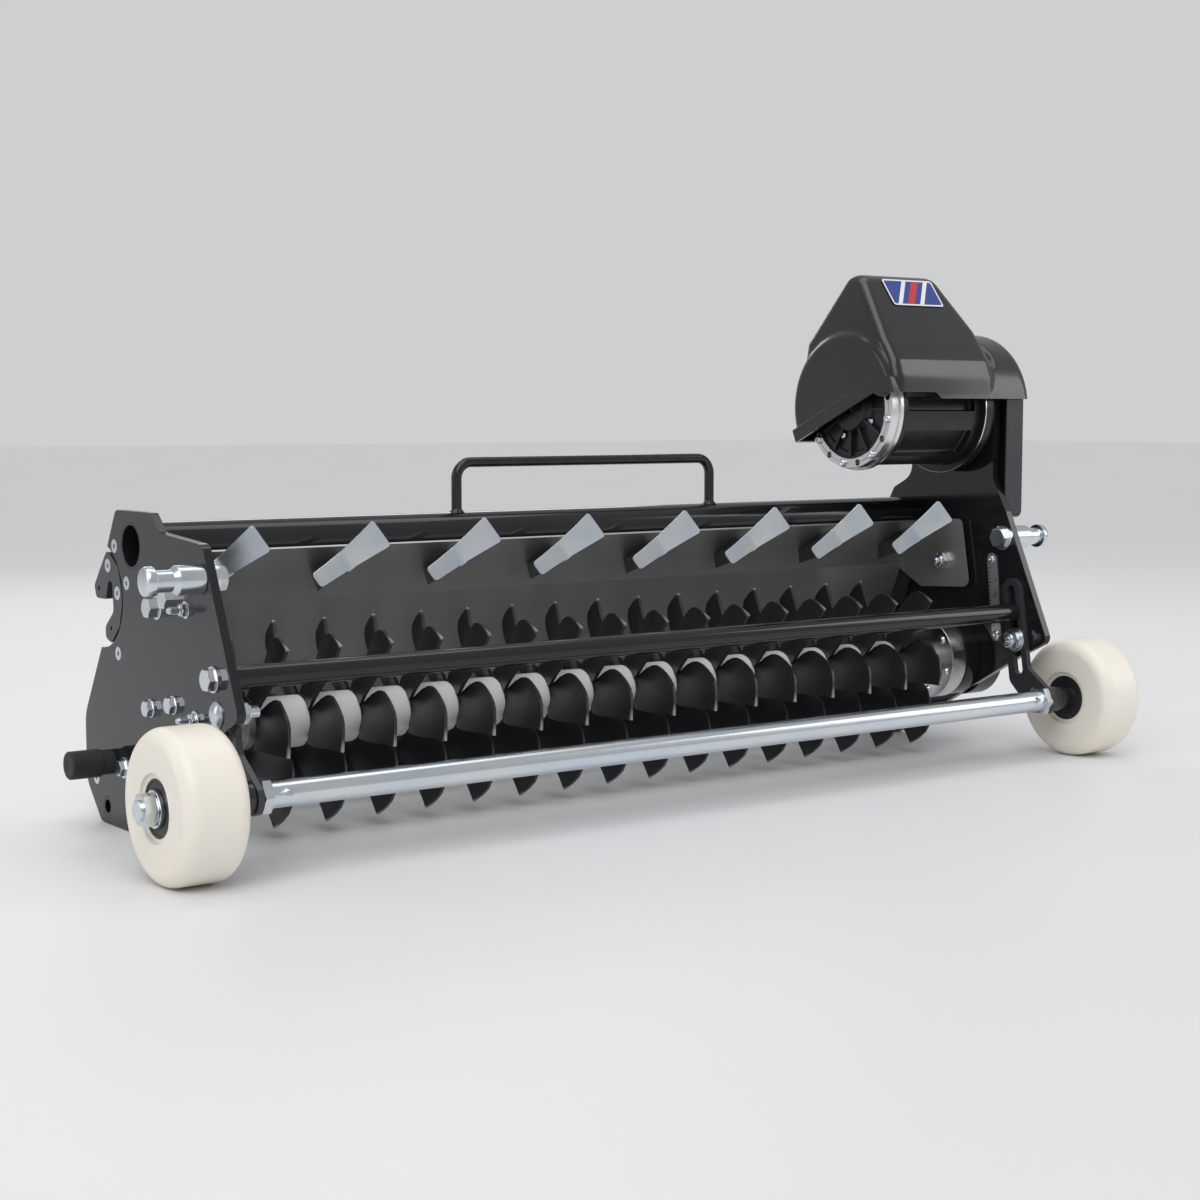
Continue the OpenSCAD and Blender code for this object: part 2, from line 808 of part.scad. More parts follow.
module motor_ring() {
    color(steel) placed() difference() {
        union() {
            rod(motor, ring_x, ring_t - 5, motor_ring_d - 4);
            rod(motor, ring_x + ring_t - 5, 5, motor_ring_d);
        }
        rod(motor, ring_x - 1, ring_t + 2, motor_ring_d - 26);
        for (a = [10:45:325]) rod(motor + (motor_ring_d / 2 - 7) * [cos(a), sin(a)], ring_x - 1, 9, 5);
    }
}

module motor_end_cap() {
    color(dark_grey) placed() difference() {
        union() {
            rod(motor, ring_x + 4, ring_t - 4, motor_ring_d - 26);
            rod(motor, ring_x - 2, 8, 44);
            for (k = [0:11]) translate([ring_x, motor[0], motor[1]]) rotate([30 * k, 0, 0])
                translate([0, 20, -1.5]) cube([6, motor_ring_d / 2 - 36, 3]);
        }
        rod(motor, ring_x + 2, ring_t, motor_shaft_d + 2);
    }
}

module motor_screws() {
    color(zinc) placed() for (a = [10:45:325]) {
        p = motor + (motor_ring_d / 2 - 7) * [cos(a), sin(a)];
        difference() {
            union() {
                rod(p, ring_x - 3, 3, 8.5);
                rod(p, ring_x, 8, 5);
            }
            translate([ring_x - 4, p[0], p[1]]) rotate([0, 90, 0]) cylinder(h = 3, d = 4, $fn = 6);
        }
    }
}

module motor_flange() {
    color(black_gloss) placed() difference() {
        union() {
            rod(motor, motor_x, 12, motor_flange_d);
            rod(motor, motor_x + 12, in_x - motor_x - 12, motor_flange_d - 14);
        }
        rod(motor, motor_x - 1, 40, motor_shaft_d + 2 * running);
    }
}

pulley_x = out_x + 5;
pulley_w = 13;
motor_pulley_d = 52;
reel_pulley_d = 66;
belt_t = 4;

module motor_rotor_shaft() {
    color(steel) placed() rod(motor, ring_x + 6, out_x + 20 - ring_x - 6, motor_shaft_d);
}

module pulley(p, d, bore, teeth) {
    difference() {
        union() {
            rod(p, pulley_x, pulley_w, d);
            for (x = [pulley_x - 2, pulley_x + pulley_w]) rod(p, x, 2, d + 6);
        }
        rod(p, pulley_x - 3, pulley_w + 6, bore);
        for (k = [0:teeth - 1]) rod(p + (d / 2 + 0.4) * [cos(360 * k / teeth), sin(360 * k / teeth)],
                                    pulley_x, pulley_w, 3);
    }
}

module motor_pulley() {
    color(steel) placed() pulley(motor, motor_pulley_d, motor_shaft_d, 24);
}

module reel_pulley() {
    color(steel) placed() pulley(reel, reel_pulley_d, shaft_d, 30);
}

// Outline of a loop round two circles, radii a and b
function loop(p, a, q, b) =
    let (d = norm(q - p), base = atan2(q[1] - p[1], q[0] - p[0]), open = acos((a - b) / d))
    concat([for (i = [0:24]) let (t = base + open + i * (360 - 2 * open) / 24) p + a * [cos(t), sin(t)]],
           [for (i = [0:24]) let (t = base - open + i * 2 * open / 24) q + b * [cos(t), sin(t)]]);

module drive_belt() {
    a = motor_pulley_d / 2 + seat;
    b = reel_pulley_d / 2 + seat;
    color(rubber) placed() slab(pulley_x + 1, pulley_w - 2) difference() {
        polygon(loop(motor, a + belt_t, reel, b + belt_t));
        polygon(loop(motor, a, reel, b));
    }
}

// Drive cover: pressed shell over belt and pulleys, open towards the plate
cover_low = spigot[1] + spigot_d / 2 + 8;
cover_depth = 26;

function cover_outline(t) = [[70.5 + t, 444 - t, 66 - t], [213.5 - t, 444 - t, 66 - t], [213.5 - t, 350, 30 - t],
    [177 - t, 262, 20], [182 - t, 53 + t, 43 - t], [94 + t, 53 + t, 43 - t], [94 + t, cover_low + t, 6],
    [70.5 + t, cover_low + t, 8 - t]];

module drive_cover() {
    color(dark_grey) placed() difference() {
        slab(out_x, cover_depth) polygon(rounded(cover_outline(0), 12));
        slab(out_x - 1, cover_depth - 1) polygon(rounded(cover_outline(2), 12));
    }
}

// Moulded guard: an arched shell along the motor with a raised, flat-topped hump
guard_x0 = ring_x - 14;
guard_x1 = out_x + cover_depth + 4;
guard_r = 80;
guard_c = motor + [0, 2];
guard_side = [[62, 380, 2], [78, 432, 10], [136, 512, 6], [157, 512, 6], [203, 440, 20], [216, 380, 2]];
guard_front = [[guard_x0 + 3, 380, 4], [guard_x0 + 5, 440, 10], [guard_x0 + 24, 512, 12], [in_x - 40, 512, 10],
               [in_x - 16, 452, 8], [in_x - 16, 380, 4]];

function inward(line, c, t) = [for (p = line) [p[0] - sign(p[0] - c[0]) * t, p[1] - (p[1] > c[1] ? t : 0), p[2]]];

module guard_form(t) {
    rod(guard_c, guard_x0 + t, guard_x1 - guard_x0 - 2 * t, 2 * guard_r - 2 * t);
    intersection() {
        slab(guard_x0, guard_x1 - guard_x0) polygon(rounded(inward(guard_side, [142, 420], t)));
        translate([0, 300, 0]) rotate([90, 0, 0]) linear_extrude(320)
            polygon(rounded(inward(guard_front, [in_x - 90, 400], t)));
    }
}

module guard_cut() {
    slab(guard_x0 - 5, guard_x1 - guard_x0 + 10)
        polygon([[0, 0], [0, 381], [80, 381], [92, 386], [300, 295], [300, 0]]);
}

module motor_guard() {
    color(black_gloss) placed() {
        difference() {
            guard_form(0);
            guard_form(guard_wall);
            guard_cut();
        }
        difference() {
            rod(guard_c, motor_x + 2, 8, 2 * guard_r - guard_wall);
            rod(motor, motor_x - 1, 14, motor_flange_d);
            guard_cut();
        }
    }
}

left_side_plate();
right_side_plate();
left_hook_plate();
right_hook_plate();
left_backing_plate();
right_backing_plate();
countersunk_screws();
top_tube();
carry_handle();
mid_tube();
mid_tube_bolts();
tie_tube();
left_spigot();
right_spigot();
spigot_bolts();
left_buffer();
right_buffer();
plate_bolts();
deflector_sheet();
deflector_paddles();
paddle_wedges();
deflector_bolts();
left_gauge_strip();
right_gauge_strip();
gauge_screws();
reel_shaft();
tine_discs_left();
tine_discs_right();
reel_spacers();
shaft_collars();
left_bearing_housing();
left_bearing();
right_bearing_housing();
bearing_drum();
right_bearing();
housing_screws();
front_axle_tube();
left_bracket();
right_bracket();
clamp_bolts();
clamp_nuts();
axle_rod();
hub_sleeves();
axle_nuts();
grease_nipples();
left_wheel();
right_wheel();
left_wheel_bearings();
right_wheel_bearings();
motor_body();
motor_ring();
motor_end_cap();
motor_screws();
motor_flange();
motor_rotor_shaft();
motor_guard();
drive_cover();
motor_pulley();
reel_pulley();
drive_belt();
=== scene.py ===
"""Lawn scarifier: plates, twisted tine reel, deflector, axle, handle and hooded motor, dressed over its built frame."""

import json
import math

import bmesh
import bpy
from mathutils import Matrix, Vector

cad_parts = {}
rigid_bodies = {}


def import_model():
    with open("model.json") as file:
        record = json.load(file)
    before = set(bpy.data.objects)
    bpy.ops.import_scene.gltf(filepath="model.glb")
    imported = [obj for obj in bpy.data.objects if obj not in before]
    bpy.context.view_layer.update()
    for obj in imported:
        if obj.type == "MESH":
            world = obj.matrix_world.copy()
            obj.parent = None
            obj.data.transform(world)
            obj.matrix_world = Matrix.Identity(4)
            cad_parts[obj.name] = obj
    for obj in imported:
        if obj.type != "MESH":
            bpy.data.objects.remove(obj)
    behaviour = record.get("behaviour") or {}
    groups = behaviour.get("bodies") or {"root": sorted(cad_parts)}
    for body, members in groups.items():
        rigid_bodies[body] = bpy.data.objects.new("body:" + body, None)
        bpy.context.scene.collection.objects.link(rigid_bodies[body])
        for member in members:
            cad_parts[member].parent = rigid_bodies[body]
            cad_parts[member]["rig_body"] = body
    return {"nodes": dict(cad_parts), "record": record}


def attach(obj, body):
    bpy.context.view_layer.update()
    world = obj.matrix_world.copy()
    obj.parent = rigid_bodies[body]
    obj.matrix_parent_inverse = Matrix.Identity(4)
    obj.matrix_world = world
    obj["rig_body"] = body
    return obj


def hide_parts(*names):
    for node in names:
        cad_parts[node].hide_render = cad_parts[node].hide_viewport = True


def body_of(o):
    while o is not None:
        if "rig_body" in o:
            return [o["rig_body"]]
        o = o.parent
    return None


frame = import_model()

bl_info = {
    "name": "Lawn Scarifier",
    "version": (1, 0, 0),
    "blender": (4, 5, 0),
    "location": "View3D > Sidebar > Scarifier",
    "description": "Models a powered lawn scarifier piece by piece and lights it",
    "category": "Object",
}

MM = 0.001
ROW_SHIFT = 122.75
# All places below are in millimetres: X from the middle of the machine, (Y, Z) from the axle line and the floor.
PLATE_X = 468.0
PLATE_OUT = 476.0
AXLE = (0.0, 62.5)
REEL = (138.0, 97.0)
MOTOR = (142.0, 370.0)
SPIGOT = (64, 232)
BUFFER = (250, 58)
GAUGE_TOP = (80, 208)
GAUGE_LOW = (71, 126)
WHEEL_R = 62.5
TINE_TIP = 91.8
TINE_TWIST = 12


class ScarifierSizes(bpy.types.PropertyGroup):
    """Sizes of the dressed pieces."""

    wheel_radius: bpy.props.FloatProperty(
        name="Wheel radius", description="Radius of the front wheels",
        default=WHEEL_R * MM, min=50 * MM, max=63 * MM, unit="LENGTH",
    )
    reel_radius: bpy.props.FloatProperty(
        name="Reel radius", description="Radius to the tine tips",
        default=TINE_TIP * MM, min=80 * MM, max=92 * MM, unit="LENGTH",
    )
    tine_twist: bpy.props.FloatProperty(
        name="Tine twist", description="How far each tine is turned out of its disc",
        default=math.radians(TINE_TWIST), min=0, max=math.radians(40), unit="ROTATION",
    )
    guard_wall: bpy.props.FloatProperty(
        name="Guard wall", description="Wall of the moulded motor guard",
        default=3 * MM, min=1 * MM, max=4 * MM, unit="LENGTH",
    )


class ScarifierColours(bpy.types.PropertyGroup):
    """Colours of the finishes."""

    black_paint: bpy.props.FloatVectorProperty(
        name="Black paint", description="Gloss black of plates and tubes",
        default=(0.012, 0.012, 0.014), subtype="COLOR", min=0, max=1,
    )
    zinc: bpy.props.FloatVectorProperty(
        name="Zinc", description="Bright zinc of bolts, axle and paddles",
        default=(0.66, 0.69, 0.72), subtype="COLOR", min=0, max=1,
    )
    sheet: bpy.props.FloatVectorProperty(
        name="Sheet steel", description="Plain steel of the deflector",
        default=(0.5, 0.495, 0.485), subtype="COLOR", min=0, max=1,
    )
    nylon: bpy.props.FloatVectorProperty(
        name="Nylon", description="Off-white of wheels and spacers",
        default=(0.88, 0.86, 0.79), subtype="COLOR", min=0, max=1,
    )
    floor: bpy.props.FloatVectorProperty(
        name="Floor", description="Pale studio floor",
        default=(0.8, 0.8, 0.81), subtype="COLOR", min=0, max=1,
    )


def place(x, y, z):
    """A point in millimetres, counted from the axle line, as metres in the shared frame."""
    return Vector((x, y - ROW_SHIFT, z)) * MM


def clear_choice():
    if bpy.context.object and bpy.context.object.mode != "OBJECT":
        bpy.ops.object.mode_set(mode="OBJECT")
    bpy.ops.object.select_all(action="DESELECT")


def started(add, **settings):
    """Runs an operator that adds an object, with nothing else chosen, and gives the new object."""
    clear_choice()
    add(**settings)
    return bpy.context.object


def pick(obj):
    clear_choice()
    obj.select_set(True)
    bpy.context.view_layer.objects.active = obj


def edit(obj, kind="FACE"):
    pick(obj)
    bpy.ops.object.mode_set(mode="EDIT")
    bpy.ops.mesh.select_mode(type=kind)


def take_all():
    bpy.ops.mesh.select_all(action="SELECT")


def edit_all(obj, kind="FACE"):
    edit(obj, kind)
    take_all()


def choose(obj, test, kind="FACE"):
    """In edit mode, selects the vertices, edges or faces of obj that pass the test."""
    bpy.ops.mesh.select_mode(type=kind)
    bpy.ops.mesh.select_all(action="DESELECT")
    bm = bmesh.from_edit_mesh(obj.data)
    group = {"VERT": bm.verts, "EDGE": bm.edges, "FACE": bm.faces}[kind]
    for item in group:
        if test(item):
            item.select_set(True)
    bm.select_flush_mode()
    bmesh.update_edit_mesh(obj.data)


def done():
    bpy.ops.object.mode_set(mode="OBJECT")


def named(obj, name):
    obj.name = name
    obj.data.name = name
    return obj


def modified(obj, name, kind, **settings):
    """Puts a modifier on the piece and sets it."""
    m = obj.modifiers.new(name, kind)
    for key, value in settings.items():
        setattr(m, key, value)
    return m


def settle(obj, angle=34):
    """Puts the object's place into its mesh and rounds its shading, with flat faces kept flat."""
    pick(obj)
    bpy.ops.object.transform_apply(location=True, rotation=True, scale=True)
    bpy.ops.object.shade_smooth_by_angle(angle=math.radians(angle))
    modified(obj, "Flat faces", "WEIGHTED_NORMAL", keep_sharp=True, weight=100)
    return apply_all(obj)


def apply_all(obj):
    pick(obj)
    for m in list(obj.modifiers):
        bpy.ops.object.modifier_apply(modifier=m.name)
    return obj


def ease(obj, width, segments=2, angle=34):
    limit = math.radians(angle)
    modified(obj, "Eased edges", "BEVEL", width=width, segments=segments, limit_method="ANGLE", angle_limit=limit)
    return apply_all(obj)


def fresh_normals(obj):
    edit_all(obj)
    bpy.ops.mesh.remove_doubles(threshold=1e-6)
    bpy.ops.mesh.normals_make_consistent(inside=False)
    done()
    return obj


def turned(profile, centre, vertices):
    """A ring of (x, radius) steps, in millimetres, turned about an axis along X through centre."""
    x0, r0 = profile[0]
    at = Vector(centre)
    start = at + Vector((x0 * MM, 0, 0))
    ring = {"vertices": vertices, "radius": r0 * MM, "location": start, "rotation": (0, math.pi / 2, 0)}
    obj = started(bpy.ops.mesh.primitive_circle_add, **ring)
    bpy.ops.object.transform_apply(location=True, rotation=True, scale=True)
    edit_all(obj, "EDGE")
    for (xa, ra), (xb, rb) in zip(profile, profile[1:]):
        bpy.ops.mesh.extrude_region_move(TRANSFORM_OT_translate={"value": ((xb - xa) * MM, 0, 0)})
        k = rb / ra
        bpy.ops.transform.resize(value=(1, k, k), center_override=at + Vector((xb * MM, 0, 0)))
    done()
    return fresh_normals(obj)


def capped(obj):
    """Closes both open ends of a turned piece."""
    edit(obj, "EDGE")
    bpy.ops.mesh.select_non_manifold()
    bpy.ops.mesh.edge_face_add()
    take_all()
    bpy.ops.mesh.normals_make_consistent(inside=False)
    done()
    return obj


def cut_with(obj, tool, way="DIFFERENCE"):
    modified(obj, "Cut", "BOOLEAN", operation=way, object=tool, solver="EXACT")
    apply_all(obj)
    pick(tool)
    bpy.ops.object.delete()
    return obj


def join(name, parts):
    clear_choice()
    for p in parts:
        p.select_set(True)
    bpy.context.view_layer.objects.active = parts[0]
    bpy.ops.object.join()
    return named(bpy.context.object, name)


def another(obj, offset=(0, 0, 0), turn=None):
    """A copy with its own mesh, moved, or turned by a matrix first."""
    pick(obj)
    bpy.ops.object.duplicate()
    new = bpy.context.object
    if turn is not None:
        new.data.transform(turn)
    bpy.ops.transform.translate(value=offset)
    bpy.ops.object.transform_apply(location=True, rotation=True, scale=True)
    return new


# Finishes

ALL_WAYS = (1, 1, 1)
BUMP_DEPTH = 0.3 * MM
COAT_GLOSS = 0.08
GLOSS_WANDER = 1.5
WORN_FROM, WORN_FULL = 89.3 * MM, 91.2 * MM


def node_tree(name):
    mat = bpy.data.materials.new(name)
    mat.use_nodes = True
    tree = mat.node_tree
    return mat, tree, tree.nodes["Principled BSDF"], tree.nodes.new("ShaderNodeTexCoord")


def fill(node, values):
    """Links each named socket to another node's output, or sets it to a plain value."""
    for socket, value in values.items():
        if isinstance(value, bpy.types.NodeSocket):
            node.id_data.links.new(value, node.inputs[socket])
        else:
            node.inputs[socket].default_value = value


def ramp_between(tree, source, low, high, start=0.0, end=1.0):
    """Maps the source, which runs from start to end, onto low to high."""
    m = tree.nodes.new("ShaderNodeMapRange")
    fill(m, {"Value": source, "From Min": start, "From Max": end, "To Min": low, "To Max": high})
    return m.outputs["Result"]


def vector_maths(tree, operation, *sources):
    m = tree.nodes.new("ShaderNodeVectorMath")
    m.operation = operation
    fill(m, dict(enumerate(sources)))
    return m.outputs["Value" if operation == "LENGTH" else "Vector"]


def noise(tree, where, scale, stretch=ALL_WAYS, detail=4):
    mapping = tree.nodes.new("ShaderNodeMapping")
    fill(mapping, {"Scale": stretch, "Vector": where.outputs["Object"]})
    n = tree.nodes.new("ShaderNodeTexNoise")
    fill(n, {"Scale": scale, "Detail": detail, "Vector": mapping.outputs["Vector"]})
    return n.outputs["Fac"]


def blend_colour(tree, factor, a, b):
    m = tree.nodes.new("ShaderNodeMix")
    m.data_type = "RGBA"
    m.inputs["A"].default_value = (*a, 1)
    m.inputs["B"].default_value = (*b, 1)
    tree.links.new(factor, m.inputs["Factor"])
    return m.outputs["Result"]


def bumped(tree, height, strength):
    b = tree.nodes.new("ShaderNodeBump")
    fill(b, {"Strength": strength, "Distance": BUMP_DEPTH, "Height": height})
    return b.outputs["Normal"]


def finish(
    name, colour, metal, rough, vary=0.12, scale=30, stretch=ALL_WAYS,
    grain=0.05, coat=0.0, bump=0.0, bump_scale=900, specular=0.5,
):
    """A plain finish: the colour and gloss wander a little over the surface, with a fine bump where asked for."""
    mat, tree, shader, where = node_tree(name)
    cloud = noise(tree, where, scale, stretch)
    lo = tuple(c * (1 - vary) for c in colour)
    hi = tuple(min(1, c * (1 + vary)) for c in colour)
    swing = grain * GLOSS_WANDER
    fill(shader, {
        "Base Color": blend_colour(tree, ramp_between(tree, cloud, -0.4, 1.4), lo, hi),
        "Roughness": ramp_between(tree, cloud, rough - swing, rough + swing),
        "Metallic": metal,
        "Coat Weight": coat,
        "Coat Roughness": COAT_GLOSS,
        "Specular IOR Level": specular,
    })
    if bump:
        fill(shader, {"Normal": bumped(tree, noise(tree, where, bump_scale, stretch, 3), bump)})
    return mat


def tine_finish(name, colour, bare):
    """Black enamel worn to bright steel at the tips."""
    mat, tree, shader, where = node_tree(name)
    centre = place(0, *REEL)
    shift = vector_maths(tree, "SUBTRACT", where.outputs["Object"], (0, centre.y, centre.z))
    radius = vector_maths(tree, "LENGTH", vector_maths(tree, "MULTIPLY", shift, (0, 1, 1)))
    cloud = noise(tree, where, 60)
    patch = tree.nodes.new("ShaderNodeMath")
    patch.operation = "MULTIPLY"
    worn = ramp_between(tree, radius, 0, 1, WORN_FROM, WORN_FULL)
    fill(patch, {0: worn, 1: ramp_between(tree, cloud, 0.3, 1.1)})
    fill(shader, {
        "Base Color": blend_colour(tree, patch.outputs[0], colour, bare),
        "Metallic": patch.outputs[0],
        "Roughness": ramp_between(tree, cloud, 0.26, 0.42),
        "Normal": bumped(tree, noise(tree, where, 700), 0.08),
    })
    return mat


def zinc_finish(name, colour, brushed=False):
    """Bright zinc with the faint bluish and yellowish clouds of its passivation."""
    mat, tree, shader, where = node_tree(name)
    drawn = (0.1, 1, 1) if brushed else ALL_WAYS
    cloud = noise(tree, where, 45, (0.25, 1, 1) if brushed else ALL_WAYS, 5)
    cool = tuple(c * k for c, k in zip(colour, (0.86, 0.93, 1.04)))
    warm = tuple(c * k for c, k in zip(colour, (1.1, 1.07, 1.0)))
    fill(shader, {
        "Base Color": blend_colour(tree, ramp_between(tree, cloud, -0.5, 1.5), cool, warm),
        "Roughness": ramp_between(tree, noise(tree, where, 60, drawn, 3), 0.18, 0.3),
        "Metallic": 1.0,
        "Normal": bumped(tree, noise(tree, where, 500, drawn, 3), 0.012),
    })
    return mat


def nylon_finish(name, colour):
    """Cast nylon: a little light passes in, with faint turning marks."""
    mat, tree, shader, where = node_tree(name)
    cloud = noise(tree, where, 18, ALL_WAYS, 3)
    warm = tuple(c * k for c, k in zip(colour, (1.03, 0.97, 0.9)))
    fill(shader, {
        "Base Color": blend_colour(tree, cloud, colour, warm),
        "Roughness": ramp_between(tree, cloud, 0.28, 0.42),
        "Subsurface Weight": 0.15,
        "Subsurface Scale": 0.006,
        "Normal": bumped(tree, noise(tree, where, 300, (4, 1, 1), 2), 0.05),
    })
    return mat


def make_finishes(c):
    black, grey_black = tuple(c.black_paint), (0.02, 0.02, 0.022)
    return {
        "black_paint": finish(
            "Gloss black enamel", black, 0.0, 0.12, 0.2, 14,
            grain=0.02, coat=0.12, bump=0.025, bump_scale=260, specular=0.4,
        ),
        "dark_paint": finish("Satin black enamel", [v * 3 for v in black], 0.0, 0.3, 0.2, 20, grain=0.04, bump=0.05),
        "tine": tine_finish("Worn tine enamel", tuple(v * 1.5 for v in black), (0.55, 0.55, 0.56)),
        "zinc_plate": zinc_finish("Bright zinc", tuple(c.zinc)),
        "zinc_tube": zinc_finish("Drawn zinc tube", tuple(v * 1.05 for v in c.zinc), True),
        "plain_steel": finish(
            "Rolled sheet steel", tuple(c.sheet), 0.8, 0.42, 0.14, 12, (0.15, 1, 1), bump=0.03, bump_scale=400
        ),
        "machined_ring": finish("Machined aluminium", (0.72, 0.72, 0.73), 1.0, 0.24, 0.08, 50, (6, 1, 1), bump=0.05),
        "black_casting": finish(
            "Black anodised casting", grey_black, 0.35, 0.3, 0.25, 40, grain=0.04, bump=0.08, bump_scale=1200
        ),
        "white_nylon": nylon_finish("Cast nylon", tuple(c.nylon)),
        "spacer_nylon": nylon_finish("Spacer nylon", (0.85, 0.85, 0.86)),
        "black_plastic": finish(
            "Moulded black plastic", (0.014, 0.014, 0.015), 0.0, 0.24, 0.2, 10, coat=0.3, bump=0.04, bump_scale=500
        ),
        "seal_steel": finish("Bearing seal", grey_black, 0.1, 0.42, 0.15, 60),
        "black_rubber": finish(
            "Black rubber", (0.02, 0.02, 0.02), 0.0, 0.62, 0.25, 50, grain=0.08, bump=0.25, bump_scale=800
        ),
        "mark_ink": finish("Gauge ink", (0.015, 0.015, 0.015), 0.0, 0.45, 0.1, 40),
        "label_white": finish("Label white", (0.82, 0.82, 0.83), 0.0, 0.3, 0.03, coat=0.2),
        "label_red": finish("Label red", (0.55, 0.03, 0.035), 0.0, 0.3, 0.05, coat=0.2),
        "label_blue": finish("Label blue", (0.03, 0.055, 0.26), 0.0, 0.3, 0.05, coat=0.2),
    }


FINISHES = {}
SPECIAL = {
    "front_axle_tube": "zinc_tube",
    "axle_rod": "zinc_tube",
    "tine_discs_left": "tine",
    "tine_discs_right": "tine",
    "reel_spacers": "spacer_nylon",
}


def built_slots():
    return {s["node"]: s["material_slot"] for s in frame["record"]["subparts"]}


def dressed(obj, material, *nodes, body="frame", slot=None):
    """Gives a finished piece its finish, its body and the built nodes it stands for."""
    obj.data.materials.clear()
    obj.data.materials.append(FINISHES[material])
    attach(obj, body)
    if nodes:
        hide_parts(*nodes)
    return obj


class SCARIFIER_OT_finishes(bpy.types.Operator):
    """Make the finishes and put them on the built frame"""

    bl_idname = "scarifier.finishes"
    bl_label = "Finishes"

    def execute(self, context):
        FINISHES.update(make_finishes(context.scene.scarifier_colours))
        slots = built_slots()
        for name, obj in frame["nodes"].items():
            obj.data.materials.clear()
            obj.data.materials.append(FINISHES[SPECIAL.get(name, slots[name])])
        return {"FINISHED"}


# Width of the eased edges, in millimetres, of the built pieces that keep their shape.
EASED = (
    (0.8, "left_side_plate", "right_side_plate"),
    (0.6, "left_hook_plate", "right_hook_plate", "left_bracket", "right_bracket"),
    (0.5, "left_backing_plate", "right_backing_plate", "top_tube", "mid_tube", "tie_tube"),
    (0.8, "reel_spacers"),
    (0.6, "shaft_collars"),
    (0.8, "left_bearing_housing"),
    (0.6, "right_bearing_housing"),
    (0.8, "bearing_drum"),
    (1.2, "drive_cover"),
    (0.8, "hub_sleeves"),
    (0.5, "paddle_wedges"),
    (0.8, "reel_shaft", "axle_rod"),
)


class SCARIFIER_OT_eased_pieces(bpy.types.Operator):
    """Ease the sharp edges of plates, tubes, housings and fittings"""

    bl_idname = "scarifier.eased_pieces"
    bl_label = "Eased plates and fittings"

    def execute(self, context):
        for width, name in [(width, name) for width, *names in EASED for name in names]:
            built = frame["nodes"][name]
            clear_choice()
            obj = bpy.data.objects.new(name + "_eased", built.data.copy())
            context.scene.collection.objects.link(obj)
            edit_all(obj)
            bpy.ops.mesh.remove_doubles(threshold=2e-6)
            bpy.ops.mesh.dissolve_limited(angle_limit=math.radians(0.3))
            done()
            ease(obj, width * MM)
            settle(obj)
            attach(obj, body_of(built)[0])
            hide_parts(name)
        return {"FINISHED"}


def spun_copies(obj, count, centre, name):
    """Copies the piece round an axis along X and joins the copies."""
    parts = [obj]
    for k in range(1, count):
        turn = Matrix.Rotation(2 * math.pi * k / count, 4, "X")
        turn = Matrix.Translation(centre) @ turn @ Matrix.Translation(-centre)
        parts.append(another(obj, turn=turn))
    return join(name, parts)


TINE_STEPS = (
    # radius, leading edge, trailing edge, lean in degrees, share of the sideways set
    (19.5, 11.0, -11.0, 4, 0.0),
    (24.0, 14.5, -16.0, 12, 0.06),
    (30.0, 17.0, -23.0, 20, 0.24),
    (37.0, 18.0, -27.5, 24, 0.46),
    (46.0, 18.0, -28.5, 23, 0.68),
    (56.0, 17.2, -26.5, 19, 0.86),
    (67.0, 16.4, -22.8, 15, 0.97),
    (76.0, 16.0, -18.4, 12, 1.0),
    (82.5, 16.0, -13.6, 9, 1.0),
    (86.8, 16.0, -7.6, 8, 1.0),
    (89.0, 16.0, 2.0, 7, 1.0),
    (90.3, 16.0, 15.2, 6, 1.0),
)
TINE_SETS = (-6.0, 11.0)
TINES_PER_SET = 3
TINE_PHASE = 180
TINE_THICK = 3
DISCS = 16
DISC_FIRST = -400.0
DISC_PITCH = 51.0


